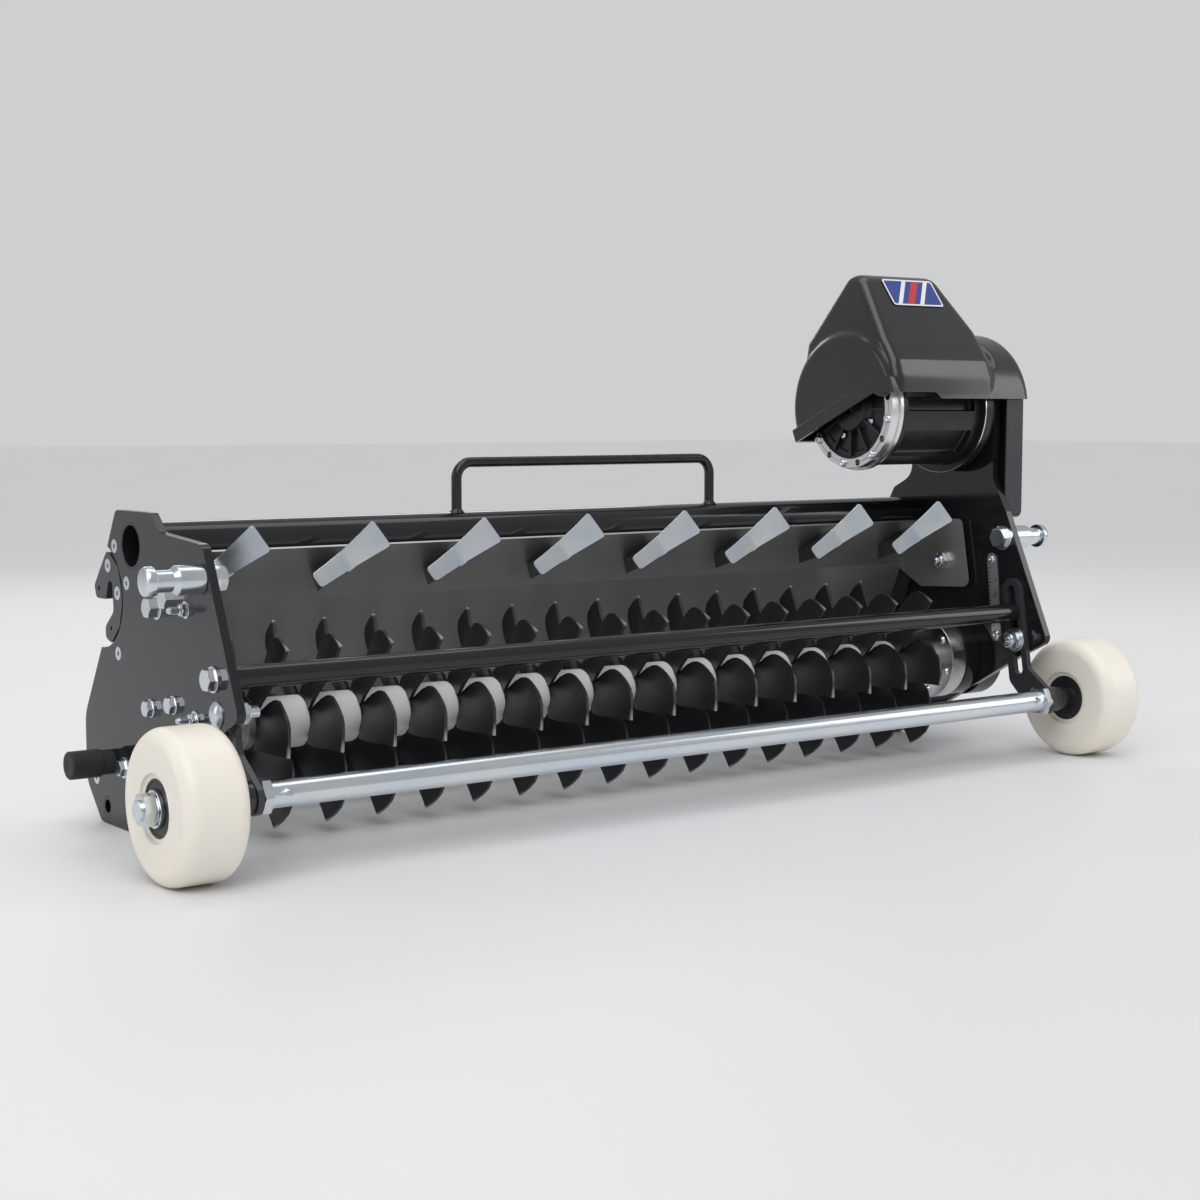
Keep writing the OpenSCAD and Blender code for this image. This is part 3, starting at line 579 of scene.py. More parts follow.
class SCARIFIER_OT_tine_discs(bpy.types.Operator):
    """Model the two twisted tines, set to either side, turn them into discs and line up the discs along the reel"""

    bl_idname = "scarifier.tine_discs"
    bl_label = "Twisted tine discs"

    def execute(self, context):
        sizes = context.scene.scarifier_sizes
        centre = place(DISC_FIRST, *REEL)
        parts = []
        for k, sideways in enumerate(TINE_SETS):
            blade = self.blade(sizes, sideways)
            start = Matrix.Rotation(math.radians(TINE_PHASE) - k * math.pi / TINES_PER_SET, 4, "X")
            upright = Matrix(((0, 0, 1, 0), (1, 0, 0, 0), (0, 1, 0, 0), (0, 0, 0, 1)))
            blade.data.transform(Matrix.Translation(centre) @ start @ upright)
            parts.append(spun_copies(blade, TINES_PER_SET, centre, "tine_set"))
        star = join("tine_disc", parts)
        modified(star, "Plate", "SOLIDIFY", thickness=TINE_THICK * MM, offset=0)
        apply_all(star)
        ease(star, 0.35 * MM, 2, 50)
        half = TINE_THICK / 2
        hub_steps = [(-half, 12.6), (-half, 23.6), (0.4 - half, 24), (half - 0.4, 24), (half, 23.6), (half, 12.6)]
        hub_steps.append(hub_steps[0])
        hub = turned(hub_steps, centre, 48)
        disc = join("tine_disc", [star, hub])
        settle(disc, 40)
        halves = {"tine_discs_left": [disc], "tine_discs_right": []}
        for i in range(1, DISCS):
            side = "tine_discs_left" if i < DISCS // 2 else "tine_discs_right"
            halves[side].append(another(disc, (i * DISC_PITCH * MM, 0, 0)))
        for side, copies in halves.items():
            dressed(join(side + "_twisted", copies), "tine", side, body="reel", slot="black_paint")
        return {"FINISHED"}

    def blade(self, sizes, sideways):
        """One tine as a curved sheet: X runs outward, Y along the disc and Z along the reel."""
        lean_share = math.degrees(sizes.tine_twist) / TINE_TWIST
        grow = sizes.reel_radius / (TINE_TIP * MM)
        aside = 10  # metres: keeps the rows that are already placed away from those still to come
        blade = started(bpy.ops.mesh.primitive_grid_add, x_subdivisions=len(TINE_STEPS) - 1, y_subdivisions=6, size=1)
        keys = sorted({round(v.co.x, 4) for v in blade.data.vertices})
        edit(blade, "VERT")
        for (radius, lead, trail, lean, share), key in zip(TINE_STEPS, keys):
            choose(blade, lambda v, key=key: abs(v.co.x - key) < 1e-3, "VERT")
            middle, width = (lead + trail) / 2, lead - trail
            out = radius * grow * MM
            bpy.ops.transform.resize(value=(1, width * MM, 1), center_override=(key, 0, 0))
            bpy.ops.transform.translate(value=(out - key - aside, middle * MM, 0))
            lean_by = math.radians(lean * lean_share)
            bpy.ops.transform.rotate(
                value=lean_by, orient_axis="X", orient_type="GLOBAL", center_override=(out - aside, 0, 0)
            )
            bpy.ops.transform.translate(value=(0, 0, sideways * share * MM))
        take_all()
        bpy.ops.transform.translate(value=(aside, 0, 0))
        done()
        return blade


GUARD_X = (298.0, 506.0)
GUARD_AXIS = (142.0, 372.0)
GUARD_R = 79.6
HUMP = [(63, 376), (64, 404), (70, 421), (80, 436), (136, 511.5), (157, 511.5), (204, 440), (214, 376)]


def block(outline, axis, low, high):
    """A closed block: an outline in millimetres drawn across the axis and extruded along it."""
    obj = started(bpy.ops.mesh.primitive_circle_add, vertices=len(outline), radius=MM, fill_type="NGON")
    for v, (a, b) in zip(obj.data.vertices, outline):
        v.co = place(low, a, b) if axis == "X" else place(a, low, b)
    edit_all(obj)
    way = (high - low) * MM
    bpy.ops.mesh.extrude_region_move(TRANSFORM_OT_translate={"value": (way, 0, 0) if axis == "X" else (0, way, 0)})
    take_all()
    bpy.ops.mesh.normals_make_consistent(inside=False)
    done()
    return obj


class SCARIFIER_OT_motor_guard(bpy.types.Operator):
    """Mould the guard: an arch with a raised hump, softened corners, a rolled rim and an even wall"""

    bl_idname = "scarifier.motor_guard"
    bl_label = "Motor guard"

    def execute(self, context):
        x0, x1 = GUARD_X
        cy, cz = GUARD_AXIS
        arch = capped(turned([(x0 + 2.2, GUARD_R), (x1 - 0.4, GUARD_R)], place(0, cy, cz), 96))
        ease(arch, 9 * MM, 4, 50)
        hump = block(HUMP, "X", x0 + 3, 452)
        seen = [(x0 + 3.5, 370), (x0 + 6, 440), (x0 + 22, 511.8), (430, 511.8), (451, 452), (451, 370)]
        sides = block(seen, "Y", 20, 260)
        cut_with(hump, sides, "INTERSECT")
        ease(hump, 9 * MM, 4, 25)
        cut_with(arch, hump, "UNION")
        scoop = started(bpy.ops.mesh.primitive_uv_sphere_add, segments=32, ring_count=16, radius=MM)
        edit_all(scoop)
        bpy.ops.transform.resize(value=(10, 13, 30))
        done()
        lean = Matrix.Rotation(math.radians(-37), 4, "X")
        scoop.data.transform(Matrix.Translation(place(457, 88, 438)) @ lean)
        cut_with(arch, scoop)
        modified(arch, "Even skin", "REMESH", mode="VOXEL", voxel_size=1.6 * MM)
        modified(arch, "Moulded softness", "SMOOTH", factor=0.5, iterations=10)
        apply_all(arch)
        band = [(52, 404), (52, 380), (92, 384), (240, 318.6), (240, 337), (92, 404)]
        rim = block(band, "X", x0 + 0.2, x0 + 20)
        edge = capped(turned([(x0 + 0.2, GUARD_R), (x0 + 20, GUARD_R)], place(0, cy, cz), 96))
        cut_with(rim, edge, "INTERSECT")
        ease(rim, 0.8 * MM, 2, 30)
        cut_with(arch, rim, "UNION")
        open_side = [(0, 200), (0, 381), (80, 381), (93, 386.5), (300, 295), (300, 200)]
        below = block(open_side, "X", x0 - 20, x1 + 20)
        step = [(x0 - 6, 370), (x0 - 6, 387.5), (x0 + 62, 387.5), (x0 + 84, 370)]
        notch = block(step, "Y", 30, 84)
        cut_with(arch, below)
        cut_with(arch, notch)
        edit(arch)
        slope = Vector((0, 207, -91.5)).normalized()
        front_cut = 382.2 * MM

        def on_cut(f):
            """The flat faces that the two cuts left, which open the shell downwards."""
            if f.normal.z > -0.85 or abs(f.normal.x) > 0.1:
                return False
            return f.calc_center_median().z < front_cut or abs(f.normal.dot(slope)) < 0.03

        choose(arch, on_cut)
        bpy.ops.mesh.delete(type="FACE")
        done()
        wall = context.scene.scarifier_sizes.guard_wall
        modified(arch, "Wall", "SOLIDIFY", thickness=wall, offset=-1)
        apply_all(arch)
        settle(arch, 50)
        dressed(named(arch, "motor_guard_moulded"), "black_plastic", "motor_guard")
        return {"FINISHED"}


def around(centre, radius, degrees):
    """A place on a circle about the centre, counted in degrees from the back."""
    turn = math.radians(degrees)
    return (centre[0] + radius * math.cos(turn), centre[1] + radius * math.sin(turn))


def lathe(profile, p, side=1, x=0, vertices=48):
    """Turns (x, radius) steps about the place p on one side; both ends are capped unless the steps form a ring."""
    steps = [(side * (x + a), r) for a, r in profile]
    obj = turned(steps, place(0, *p), vertices)
    return obj if steps[0] == steps[-1] else capped(obj)


def hexagon(p, x, height, flats, side=1, way=1, bore=0, both=False):
    """A chamfered hexagon from x towards way, with an optional bore."""
    corner = flats / 2 / math.cos(math.pi / 6)
    prism = lathe([(0, corner), (way * height, corner)], p, side, x, 6)
    low = flats / 2 * 0.94
    start = [(0, low), (way * 0.9, corner + 0.3)] if both else [(0, corner + 0.3)]
    round_off = lathe(start + [(way * (height - 1.1), corner + 0.3), (way * height, low)], p, side, x, 48)
    cut_with(prism, round_off, "INTERSECT")
    if bore:
        cut_with(prism, lathe([(-40, bore / 2), (40, bore / 2)], p, side, x, 32))
    return prism


def washer(p, x, thick, outer, bore, side=1, way=1):
    o, b = outer / 2, bore / 2
    steps = [(0, b), (0, o), (way * (thick - 0.3), o), (way * thick, o - 0.4), (way * thick, b), (0, b)]
    return lathe(steps, p, side, x, 40)


def thread(p, x0, x1, d, side=1, pitch=1.5):
    """A bolt shank with turned grooves and a pointed end at x1."""
    way = 1 if x1 > x0 else -1
    r = d / 2
    steps, at = [(x0, r - 0.1)], x0
    while abs(x1 - at) > 2.2 * pitch:
        steps += [(at + way * 0.2 * pitch, r), (at + way * 0.5 * pitch, r), (at + way * 0.8 * pitch, r - 0.7)]
        at += way * pitch
    steps += [(x1 - way * 1.2, r - 0.2), (x1, r - 1.2)]
    return lathe(steps, p, side, 0, 28)


def lock_nut(p, x, height, flats, d, side=1, way=-1):
    """A self-locking nut: a hexagon with a rounded collar and a plastic insert's rim."""
    hexa = hexagon(p, x, height * 0.7, flats, side, way, d - 0.6, both=True)
    r = flats / 2 - 0.7
    b = d / 2 - 0.2
    steps = ((0.65, b), (0.65, r), (0.86, r), (0.96, r - 0.9), (1, r - 2), (1, b), (0.65, b))
    ring = [(way * height * a, radius) for a, radius in steps]
    return join("lock_nut", [hexa, lathe(ring, p, side, x, 40)])


def fitted(name, parts, material, *nodes, body="frame", slot=None, angle=34):
    """Joins the parts of one piece, settles it and dresses it."""
    obj = join(name, parts) if len(parts) > 1 else named(parts[0], name)
    settle(obj, angle)
    return dressed(obj, material, *nodes, body=body, slot=slot)


WHEEL_X = 522.0
WHEEL_HALF = 28.0
HUB_OUT = WHEEL_X + WHEEL_HALF - 3
HUB_IN = WHEEL_X - WHEEL_HALF + 3
OUTER_RACE = (
    *((0.3, 21), (0, 21.3), (0, 23.1), (0.5, 23.45), (13.6, 23.45)),
    *((14, 23.1), (14, 20.8), (12, 20.6), (1.5, 20.6), (0.3, 21)),
)
INNER_RACE = ((0, 8.6), (0, 12.2), (0.4, 12.6), (13.6, 12.6), (14, 12.2), (14, 8.6), (0, 8.6))
SEAL = (
    *((0.7, 12.6), (0.5, 13.2), (0.5, 15), (1.0, 15.3), (1.0, 16.2), (0.5, 16.6)),
    *((0.35, 20.2), (0.7, 21), (12.8, 21), (12.8, 12.6), (0.7, 12.6)),
)


class SCARIFIER_OT_wheels(bpy.types.Operator):
    """Turn the nylon wheels with rounded shoulders and fit their sealed bearings"""

    bl_idname = "scarifier.wheels"
    bl_label = "Front wheels"

    def execute(self, context):
        k = context.scene.scarifier_sizes.wheel_radius / (WHEEL_R * MM)
        shoulder = 13
        half = [(0, WHEEL_R), (5, WHEEL_R - 0.02)]
        for i in range(13):
            t = i * math.pi / 24
            half.append((WHEEL_HALF + shoulder * (math.sin(t) - 1), WHEEL_R + shoulder * (math.cos(t) - 1)))
        seat, deep = WHEEL_HALF - 3, WHEEL_HALF - 17
        half += [(WHEEL_HALF, 28.4), (WHEEL_HALF - 0.4, 27.7), (seat, 27), (seat, 23.5)]
        half += [(deep, 23.5), (deep, 19.5), (0, 19.5)]
        outline = [(x, r * k if r > 30 else r) for x, r in half + [(-x, r) for x, r in reversed(half[:-1])]]
        outline += [outline[0]]
        for side, name in ((-1, "left_wheel"), (1, "right_wheel")):
            tyre = lathe(outline, AXLE, side, WHEEL_X, 128)
            fitted(name + "_turned", [tyre], "white_nylon", name, body=name, angle=40)
            bearings, seals = [], []
            for x, way in ((HUB_OUT, -1), (HUB_IN, 1)):
                for kind, steps, vertices in (
                    (bearings, OUTER_RACE, 64), (bearings, INNER_RACE, 48), (seals, SEAL, 64)
                ):
                    ring = [(way * a, r) for a, r in steps]
                    kind.append(lathe(ring, AXLE, side, x, vertices))
            fitted(name + "_bearing_rings", bearings, "seal_steel", name + "_bearings", body=name)
            fitted(name + "_seals", seals, "seal_steel", body=name)
        return {"FINISHED"}


class SCARIFIER_OT_bolts(bpy.types.Operator):
    """Model the chamfered bolts, locking nuts, washers and studs of the frame and the axle"""

    bl_idname = "scarifier.bolts"
    bl_label = "Bolts, nuts and studs"

    def execute(self, context):
        mid, clamp, hole = (44, 152.5), (39.5, 124), (148, 203)
        self.both_sides("mid_tube_bolts", lambda s: [
            washer(mid, PLATE_OUT, 2, 22, 10, s),
            hexagon(mid, PLATE_OUT + 2, 6.9, 17, s),
            lathe([(-38, 5), (0, 5)], mid, s, PLATE_OUT, 24),
        ])
        dome = [(-36, 5), (0, 5), (0, 11.4), (0.8, 11.4), (2.2, 10.2), (3.6, 8), (4.6, 4.8), (4.95, 2)]
        self.both_sides("clamp_bolts", lambda s: [
            lathe(dome, clamp, s, PLATE_OUT),
            thread(clamp, PLATE_X - 8, PLATE_X - 28, 10, s),
        ])
        seat = PLATE_X - 6.6
        self.both_sides("clamp_nuts", lambda s: [
            washer(clamp, seat, 2, 26, 10.2, s, -1),
            washer(clamp, seat - 2, 3, 21, 10.2, s, -1),
            lock_nut(clamp, seat - 5, 9, 17, 10, s),
        ])
        self.both_sides("spigot_bolts", lambda s: [
            washer(SPIGOT, PLATE_X, 4, 26, 12, s, -1),
            hexagon(SPIGOT, PLATE_X - 4, 8, 19, s, -1),
            lathe([(-3, 6), (30, 6)], SPIGOT, s, PLATE_X, 24),
        ])
        parts = []
        for k in range(4):
            p = around(REEL, 32, 35 + 90 * k)
            parts += [washer(p, PLATE_OUT, 1.6, 16, 8, -1), hexagon(p, PLATE_OUT + 1.6, 5.4, 13, -1)]
            parts.append(lathe([(-16, 4), (0, 4)], p, -1, PLATE_OUT, 20))
            parts.append(lathe([(-16, 4), (0, 4), (0, 6.8), (1.6, 6.8), (2.3, 6)], p, 1, PLATE_OUT, 32))
        fitted("plate_bolts_turned", parts, "zinc_plate", "plate_bolts")
        self.both_sides("axle_nuts", lambda s: [
            washer(AXLE, HUB_OUT + 0.3, 3, 30, 17, s),
            hexagon(AXLE, HUB_OUT + 3.3, 11, 24, s, 1, 17, True),
            hexagon(AXLE, PLATE_X - 6.3, 9, 27, s, -1, 22, True),
        ], "front_axle")
        inner = PLATE_X - 5.3
        parts = []
        for s in (-1, 1):
            parts += [washer(hole, PLATE_OUT, 2, 21, 10, s), hexagon(hole, PLATE_OUT + 2, 9.6, 16, s)]
            parts += [washer(hole, inner, 5.2, 20, 10, s), lock_nut(hole, inner - 2, 10, 17, 10, s)]
            parts.append(lathe([(-14, 4.9), (10, 4.9)], hole, s, PLATE_X, 24))
            parts.append(thread(hole, inner - 4, inner - 16, 10, s))
        fitted("deflector_end_bolts", parts, "zinc_plate")
        return {"FINISHED"}

    def both_sides(self, node, build, body="frame"):
        """Builds one side's parts twice, and lets the joined piece stand for the built node."""
        fitted(node + "_turned", build(-1) + build(1), "zinc_plate", node, body=body)


class SCARIFIER_OT_plate_studs(bpy.types.Operator):
    """Add the studs and nuts seen on the outside of the left plate"""

    bl_idname = "scarifier.plate_studs"
    bl_label = "Left plate studs"

    def execute(self, context):
        parts = []
        for p, flats, d, long in (((79, 116), 10, 6, 17), ((93, 205), 10, 6, 17), ((223, 56), 13, 8, 0)):
            parts.append(washer(p, PLATE_OUT, 1.4, flats * 1.45, d, -1))
            if long:
                parts.append(lock_nut(p, PLATE_OUT + 1.4, 6, flats, d, -1, 1))
                parts.append(thread(p, PLATE_OUT, PLATE_OUT + long, d, -1, 1.0))
            else:
                parts.append(hexagon(p, PLATE_OUT + 1.4, 5.4, flats, -1))
        fitted("left_plate_studs", parts, "zinc_plate")
        boss = hexagon((122, 212), PLATE_OUT, 9, 15, -1)
        fitted("left_plate_boss", [boss], "zinc_plate")
        return {"FINISHED"}


PADDLES = 8
PADDLE_PITCH = 118.5
PADDLE_FIRST = 4 - PADDLE_PITCH * (PADDLES - 1) / 2
# along the blade, its lower and upper edge there, and how far the sheet is folded back
PADDLE_ROWS = (
    *((-41, -7.6, 7.0, 0), (-26, -8.2, 7.6, 0), (-12, -9.0, 8.6, 0), (-9, -9.2, 8.8, -0.3)),
    *((-6, -9.4, 9.1, -1.2), (12, -11, 11.6, -6.8), (30.5, -12.8, 14.8, -12.4)),
)


def paddle_stand(i):
    """Where paddle i stands: its own X runs along the blade, its own -Y is the front face."""
    turn = Matrix.Rotation(math.radians(-12), 4, "Z")
    turn = turn @ Matrix.Rotation(math.radians(-33), 4, "Y") @ Matrix.Rotation(math.radians(-14), 4, "X")
    return Matrix.Translation(place(PADDLE_FIRST + PADDLE_PITCH * i, 140, 240)) @ turn


class SCARIFIER_OT_paddles(bpy.types.Operator):
    """Fold one flared zinc paddle with its screw, and stand eight of them along the sheet"""

    bl_idname = "scarifier.paddles"
    bl_label = "Deflector paddles"

    def execute(self, context):
        last = len(PADDLE_ROWS) - 1
        grid = {"x_subdivisions": last, "y_subdivisions": 2, "size": 1, "rotation": (math.pi / 2, 0, 0)}
        blade = started(bpy.ops.mesh.primitive_grid_add, **grid)
        bpy.ops.object.transform_apply(location=True, rotation=True, scale=True)
        for v in blade.data.vertices:
            x, low, high, back = PADDLE_ROWS[round((v.co.x + 0.5) * last)]
            v.co = (x * MM, back * MM, (low + (high - low) * (v.co.z + 0.5)) * MM)
        fresh_normals(blade)
        back = 1 if blade.data.polygons[0].normal.y < 0 else -1
        modified(blade, "Plate", "SOLIDIFY", thickness=2.5 * MM, offset=back)
        apply_all(blade)
        edit(blade, "EDGE")

        def corner(e):
            """The edges through the plate at its four corners."""
            a, b = (v.co / MM for v in e.verts)
            through = abs(a.y - b.y) > 1.5 and abs(a.x - b.x) < 1.5 and abs(a.z - b.z) < 1
            return through and abs(a.x) > 28 and abs(a.z) > 5

        choose(blade, corner, "EDGE")
        bpy.ops.mesh.bevel(offset=3.2 * MM, segments=4, affect="EDGES")
        done()
        ease(blade, 0.35 * MM, 2, 40)
        settle(blade)
        beneath = Vector((-9, 6, -8.9)) * MM
        head = started(
            bpy.ops.mesh.primitive_cylinder_add, vertices=32, radius=5.5 * MM, depth=3 * MM, location=beneath
        )
        edit(head)
        choose(head, lambda f: f.normal.z < -0.9)
        bpy.ops.mesh.bevel(offset=1 * MM, segments=3)
        choose(head, lambda f: f.normal.z < -0.9 and f.calc_area() > 2e-5)
        bpy.ops.mesh.inset(thickness=2.2 * MM)
        bpy.ops.mesh.extrude_region_move(TRANSFORM_OT_translate={"value": (0, 0, 1.8 * MM)})
        done()
        settle(head)
        blades, heads = [], []
        for i in range(PADDLES):
            blades.append(another(blade, turn=paddle_stand(i)))
            heads.append(another(head, turn=paddle_stand(i)))
        for spare in (blade, head):
            pick(spare)
            bpy.ops.object.delete()
        dressed(join("deflector_paddles_folded", blades), "zinc_plate", "deflector_paddles")
        dressed(join("paddle_screws", heads), "zinc_plate", "deflector_bolts")
        return {"FINISHED"}


RING_X = PLATE_X - 156
RING_WIDE = 16
MOTOR_X = PLATE_X - 22
RING_STEPS = (
    *((0.6, 52), (0, 52.6), (0, 62.2), (0.7, 62.9), (10.5, 62.9), (11, 63.2), (11, 64.2)),
    *((11.5, 64.9), (15.5, 64.9), (RING_WIDE, 64.4), (RING_WIDE, 52), (0.6, 52)),
)
CAP_STEPS = (
    *((16, 8), (16, 51.9), (4, 51.9), (4, 46), (6, 44), (6, 27), (3, 24)),
    *((-1, 23), (-2, 22), (-2, 6), (2, 6), (2, 8), (16, 8)),
)
FLANGE_STEPS = (
    *((22, 7.1), (22, 62), (12, 62), (12, 67.6), (11.2, 68.7), (1, 68.7)),
    *((0.2, 68), (0, 67), (0, 7.1), (22, 7.1)),
)
POCKETS = 7
RIBS = 12


class SCARIFIER_OT_motor(bpy.types.Operator):
    """Model the finned motor: pocketed body, machined ring with screws, ribbed cap and flange"""

    bl_idname = "scarifier.motor"
    bl_label = "Motor"

    def execute(self, context):
        start = RING_X + RING_WIDE
        long = MOTOR_X - start
        body = lathe([(0, 61.8), (long, 61.8)], MOTOR, 1, start, 112)
        pockets = []
        for k in range(POCKETS):
            mid = 12 + k * 360 / POCKETS
            edge = ((70, -15), (54.5, -17), (53.5, -8), (53.2, 0), (53.5, 8), (54.5, 17), (70, 15))
            outline = [around(MOTOR, radius, mid + turn) for radius, turn in edge]
            pocket = block(outline, "X", start + 9, MOTOR_X - 9)
            ease(pocket, 2.5 * MM, 3, 40)
            pockets.append(pocket)
        cut_with(body, join("pockets", pockets))
        cut_with(body, lathe([(-20, 7.2), (long + 20, 7.2)], MOTOR, 1, start, 32))
        ease(body, 0.6 * MM, 2, 40)
        fitted("motor_body_pocketed", [body], "black_casting", "motor_body")
        ring = lathe(RING_STEPS, MOTOR, 1, RING_X, 128)
        notches = []
        for k in range(8):
            notches.append(lathe([(-5, 3.5), (13, 3.5)], around(MOTOR, 57.6, 32.5 + 45 * k), 1, RING_X, 24))
        cut_with(ring, join("notches", notches))
        groove = [(-1, 57), (1.2, 57), (1.2, 58), (-1, 58), (-1, 57)]
        cut_with(ring, lathe(groove, MOTOR, 1, RING_X, 128))
        fitted("motor_ring_machined", [ring], "machined_ring", "motor_ring")
        parts = [lathe(CAP_STEPS, MOTOR, 1, RING_X, 96)]
        for k in range(RIBS):
            mid = 360 / RIBS * k
            edge = ((23, -3.6), (50, -1.6), (50, 1.6), (23, 3.6))
            outline = [around(MOTOR, radius, mid + turn) for radius, turn in edge]
            rib = block(outline, "X", RING_X + 0.5, RING_X + 7)
            parts.append(ease(rib, 0.5 * MM, 2, 40))
        fitted("motor_end_cap_ribbed", parts, "black_casting", "motor_end_cap")
        screws = []
        for k in range(8):
            screws += self.socket_screw(around(MOTOR, 58, 10 + 45 * k), RING_X, 8.2, 2.9)
        for k in range(4):
            screws += self.socket_screw(around(MOTOR, 31, 25 + 90 * k), RING_X + 5, 6.6, 2.6)
        fitted("motor_screws_socketed", screws, "zinc_plate", "motor_screws")
        flange = lathe(FLANGE_STEPS, MOTOR, 1, MOTOR_X, 128)
        fitted("motor_flange_turned", [flange], "black_casting", "motor_flange")
        steps = [(0.1, 68.75), (0.1, 69), (1.4, 69), (1.4, 68.75), (0.1, 68.75)]
        edge = lathe(steps, MOTOR, 1, MOTOR_X, 128)
        fitted("flange_bright_edge", [edge], "machined_ring")
        return {"FINISHED"}

    def socket_screw(self, p, x, d, height):
        """A round screw head with a hexagon socket, its face towards the middle of the machine."""
        r = d / 2
        head = lathe([(0, r), (-height + 0.6, r), (-height, r - 0.6)], p, 1, x, 28)
        socket = lathe([(-height - 1, r * 0.55), (-0.8, r * 0.55)], p, 1, x, 6)
        return [cut_with(head, socket)]


LABEL_HALF_HEIGHT = 15.5
BAND_LEAN = 22


class SCARIFIER_OT_label(bpy.types.Operator):
    """Lay a small rounded label with plain diagonal bands on the sloping face of the guard"""

    bl_idname = "scarifier.label"
    bl_label = "Guard label"

    def execute(self, context):
        (y0, z0), (y1, z1) = HUMP[3:5]
        slope = math.atan2(z1 - z0, y1 - y0)
        out = Vector((0, -math.sin(slope), math.cos(slope)))
        self.stand = Matrix.Translation(place(382, 121.7, 492.8) + out * 0.8 * MM) @ Matrix.Rotation(slope, 4, "X")
        self.sheet("label_white", 0, 37, LABEL_HALF_HEIGHT + 2, 3.5)
        self.sheet("label_blue", 0.06, 35, LABEL_HALF_HEIGHT, 2.4)
        for material, shift, wide in (("label_white", -16, 6), ("label_red", 0, 10), ("label_white", 16, 6)):
            self.band(material, shift, wide)
        return {"FINISHED"}

    def plane(self, half_w, half_h):
        """A plane of that size in millimetres, in edit mode with its corners chosen."""
        obj = started(bpy.ops.mesh.primitive_plane_add, size=2)
        edit_all(obj, "VERT")
        bpy.ops.transform.resize(value=(half_w * MM, half_h * MM, 1))
        return obj

    def laid(self, obj, name, material, shift, lift):
        """Lifts the shape, lays it on the guard and dresses it."""
        take_all()
        bpy.ops.transform.translate(value=(shift * MM, 0, lift * MM))
        done()
        obj.data.transform(self.stand)
        dressed(named(obj, name), material, slot="black_plastic")

    def sheet(self, material, lift, half_w, half_h, corner):
        obj = self.plane(half_w, half_h)
        bpy.ops.mesh.bevel(offset=corner * MM, segments=5, affect="VERTICES")
        self.laid(obj, material + "_sheet", material, 0, lift)

    def band(self, material, shift, wide):
        obj = self.plane(wide / 2, LABEL_HALF_HEIGHT)
        choose(obj, lambda v: v.co.y > 0, "VERT")
        bpy.ops.transform.translate(value=(BAND_LEAN * MM, 0, 0))
        self.laid(obj, material + "_band", material, shift - BAND_LEAN / 2, 0.12)


TICKS = 17
TICK_PITCH = 3.9
DIGIT_STEP = 2.4
HALF_BAR = 0.35
DIGIT_BARS = {
    # a digit drawn with upright and level bars on a 2 by 3 grid
    "1": [(1, 0, 1, 2)],
    "2": [(0, 2, 1, 2), (1, 1, 1, 2), (0, 1, 1, 1), (0, 0, 0, 1), (0, 0, 1, 0)],
    "3": [(0, 2, 1, 2), (0, 1, 1, 1), (0, 0, 1, 0), (1, 0, 1, 2)],
    "4": [(0, 1, 0, 2), (0, 1, 1, 1), (1, 0, 1, 2)],
}


class SCARIFIER_OT_gauges(bpy.types.Operator):
    """Model the height gauges with engraved graduations, plain numbers and button screws"""

    bl_idname = "scarifier.gauges"
    bl_label = "Height gauges"

    def execute(self, context):
        top, low = Vector(GAUGE_TOP), Vector(GAUGE_LOW)
        along = (top - low).normalized()
        across = Vector((along.y, -along.x))

        def spot(u, v):
            p = low + along * v + across * u
            return (p.x, p.y)

        length = (top - low).length
        for side, name in ((-1, "left_gauge_strip"), (1, "right_gauge_strip")):
            ends = [(6.5 * math.cos(i * math.pi / 10), -6.5 * math.sin(i * math.pi / 10)) for i in range(11)]
            outline = [spot(u, v) for u, v in ends] + [spot(-u, length - v) for u, v in ends]
            face = PLATE_X - 2
            strip = block(outline, "X", side * PLATE_X, side * face)
            fresh_normals(strip)
            ease(strip, 0.3 * MM, 2, 40)
            fitted(name + "_plate", [strip], "plain_steel", name)
            bars = []
            for k in range(TICKS):
                v = 10 + k * TICK_PITCH
                reach = 5.6 if k % 4 == 0 else 3.2
                bars.append((6.2, v, 6.2 - reach, v + 0.7))
            for k, digit in enumerate("4321"):
                base = 10.6 + k * 4 * TICK_PITCH
                for u0, v0, u1, v1 in DIGIT_BARS[digit]:
                    bars.append((
                        HALF_BAR - 1.2 - DIGIT_STEP * u0, base + DIGIT_STEP * v0 - HALF_BAR,
                        -HALF_BAR - 1.2 - DIGIT_STEP * u1, base + DIGIT_STEP * v1 + HALF_BAR,
                    ))
            marks = []
            for u0, v0, u1, v1 in bars:
                bar = [spot(u0, v0), spot(u0, v1), spot(u1, v1), spot(u1, v0)]
                marks.append(block(bar, "X", side * (face + 0.2), side * (face - 0.12)))
            for m in marks:
                fresh_normals(m)
            fitted(name + "_marks", marks, "mark_ink", slot="plain_steel")
        screws = []
        for side in (-1, 1):
            for p in (GAUGE_TOP, GAUGE_LOW):
                dome = [(1, 2.5), (0, 2.5), (0, 5), (-0.5, 5), (-1.7, 4.4), (-2.6, 3.2), (-2.95, 2)]
                head = lathe(dome, p, side, PLATE_X - 2, 32)
                cut_with(head, lathe([(-4, 1.7), (-1.4, 1.7)], p, side, PLATE_X - 2, 6))
                screws.append(head)
        fitted("gauge_screws_domed", screws, "zinc_plate", "gauge_screws")
        return {"FINISHED"}


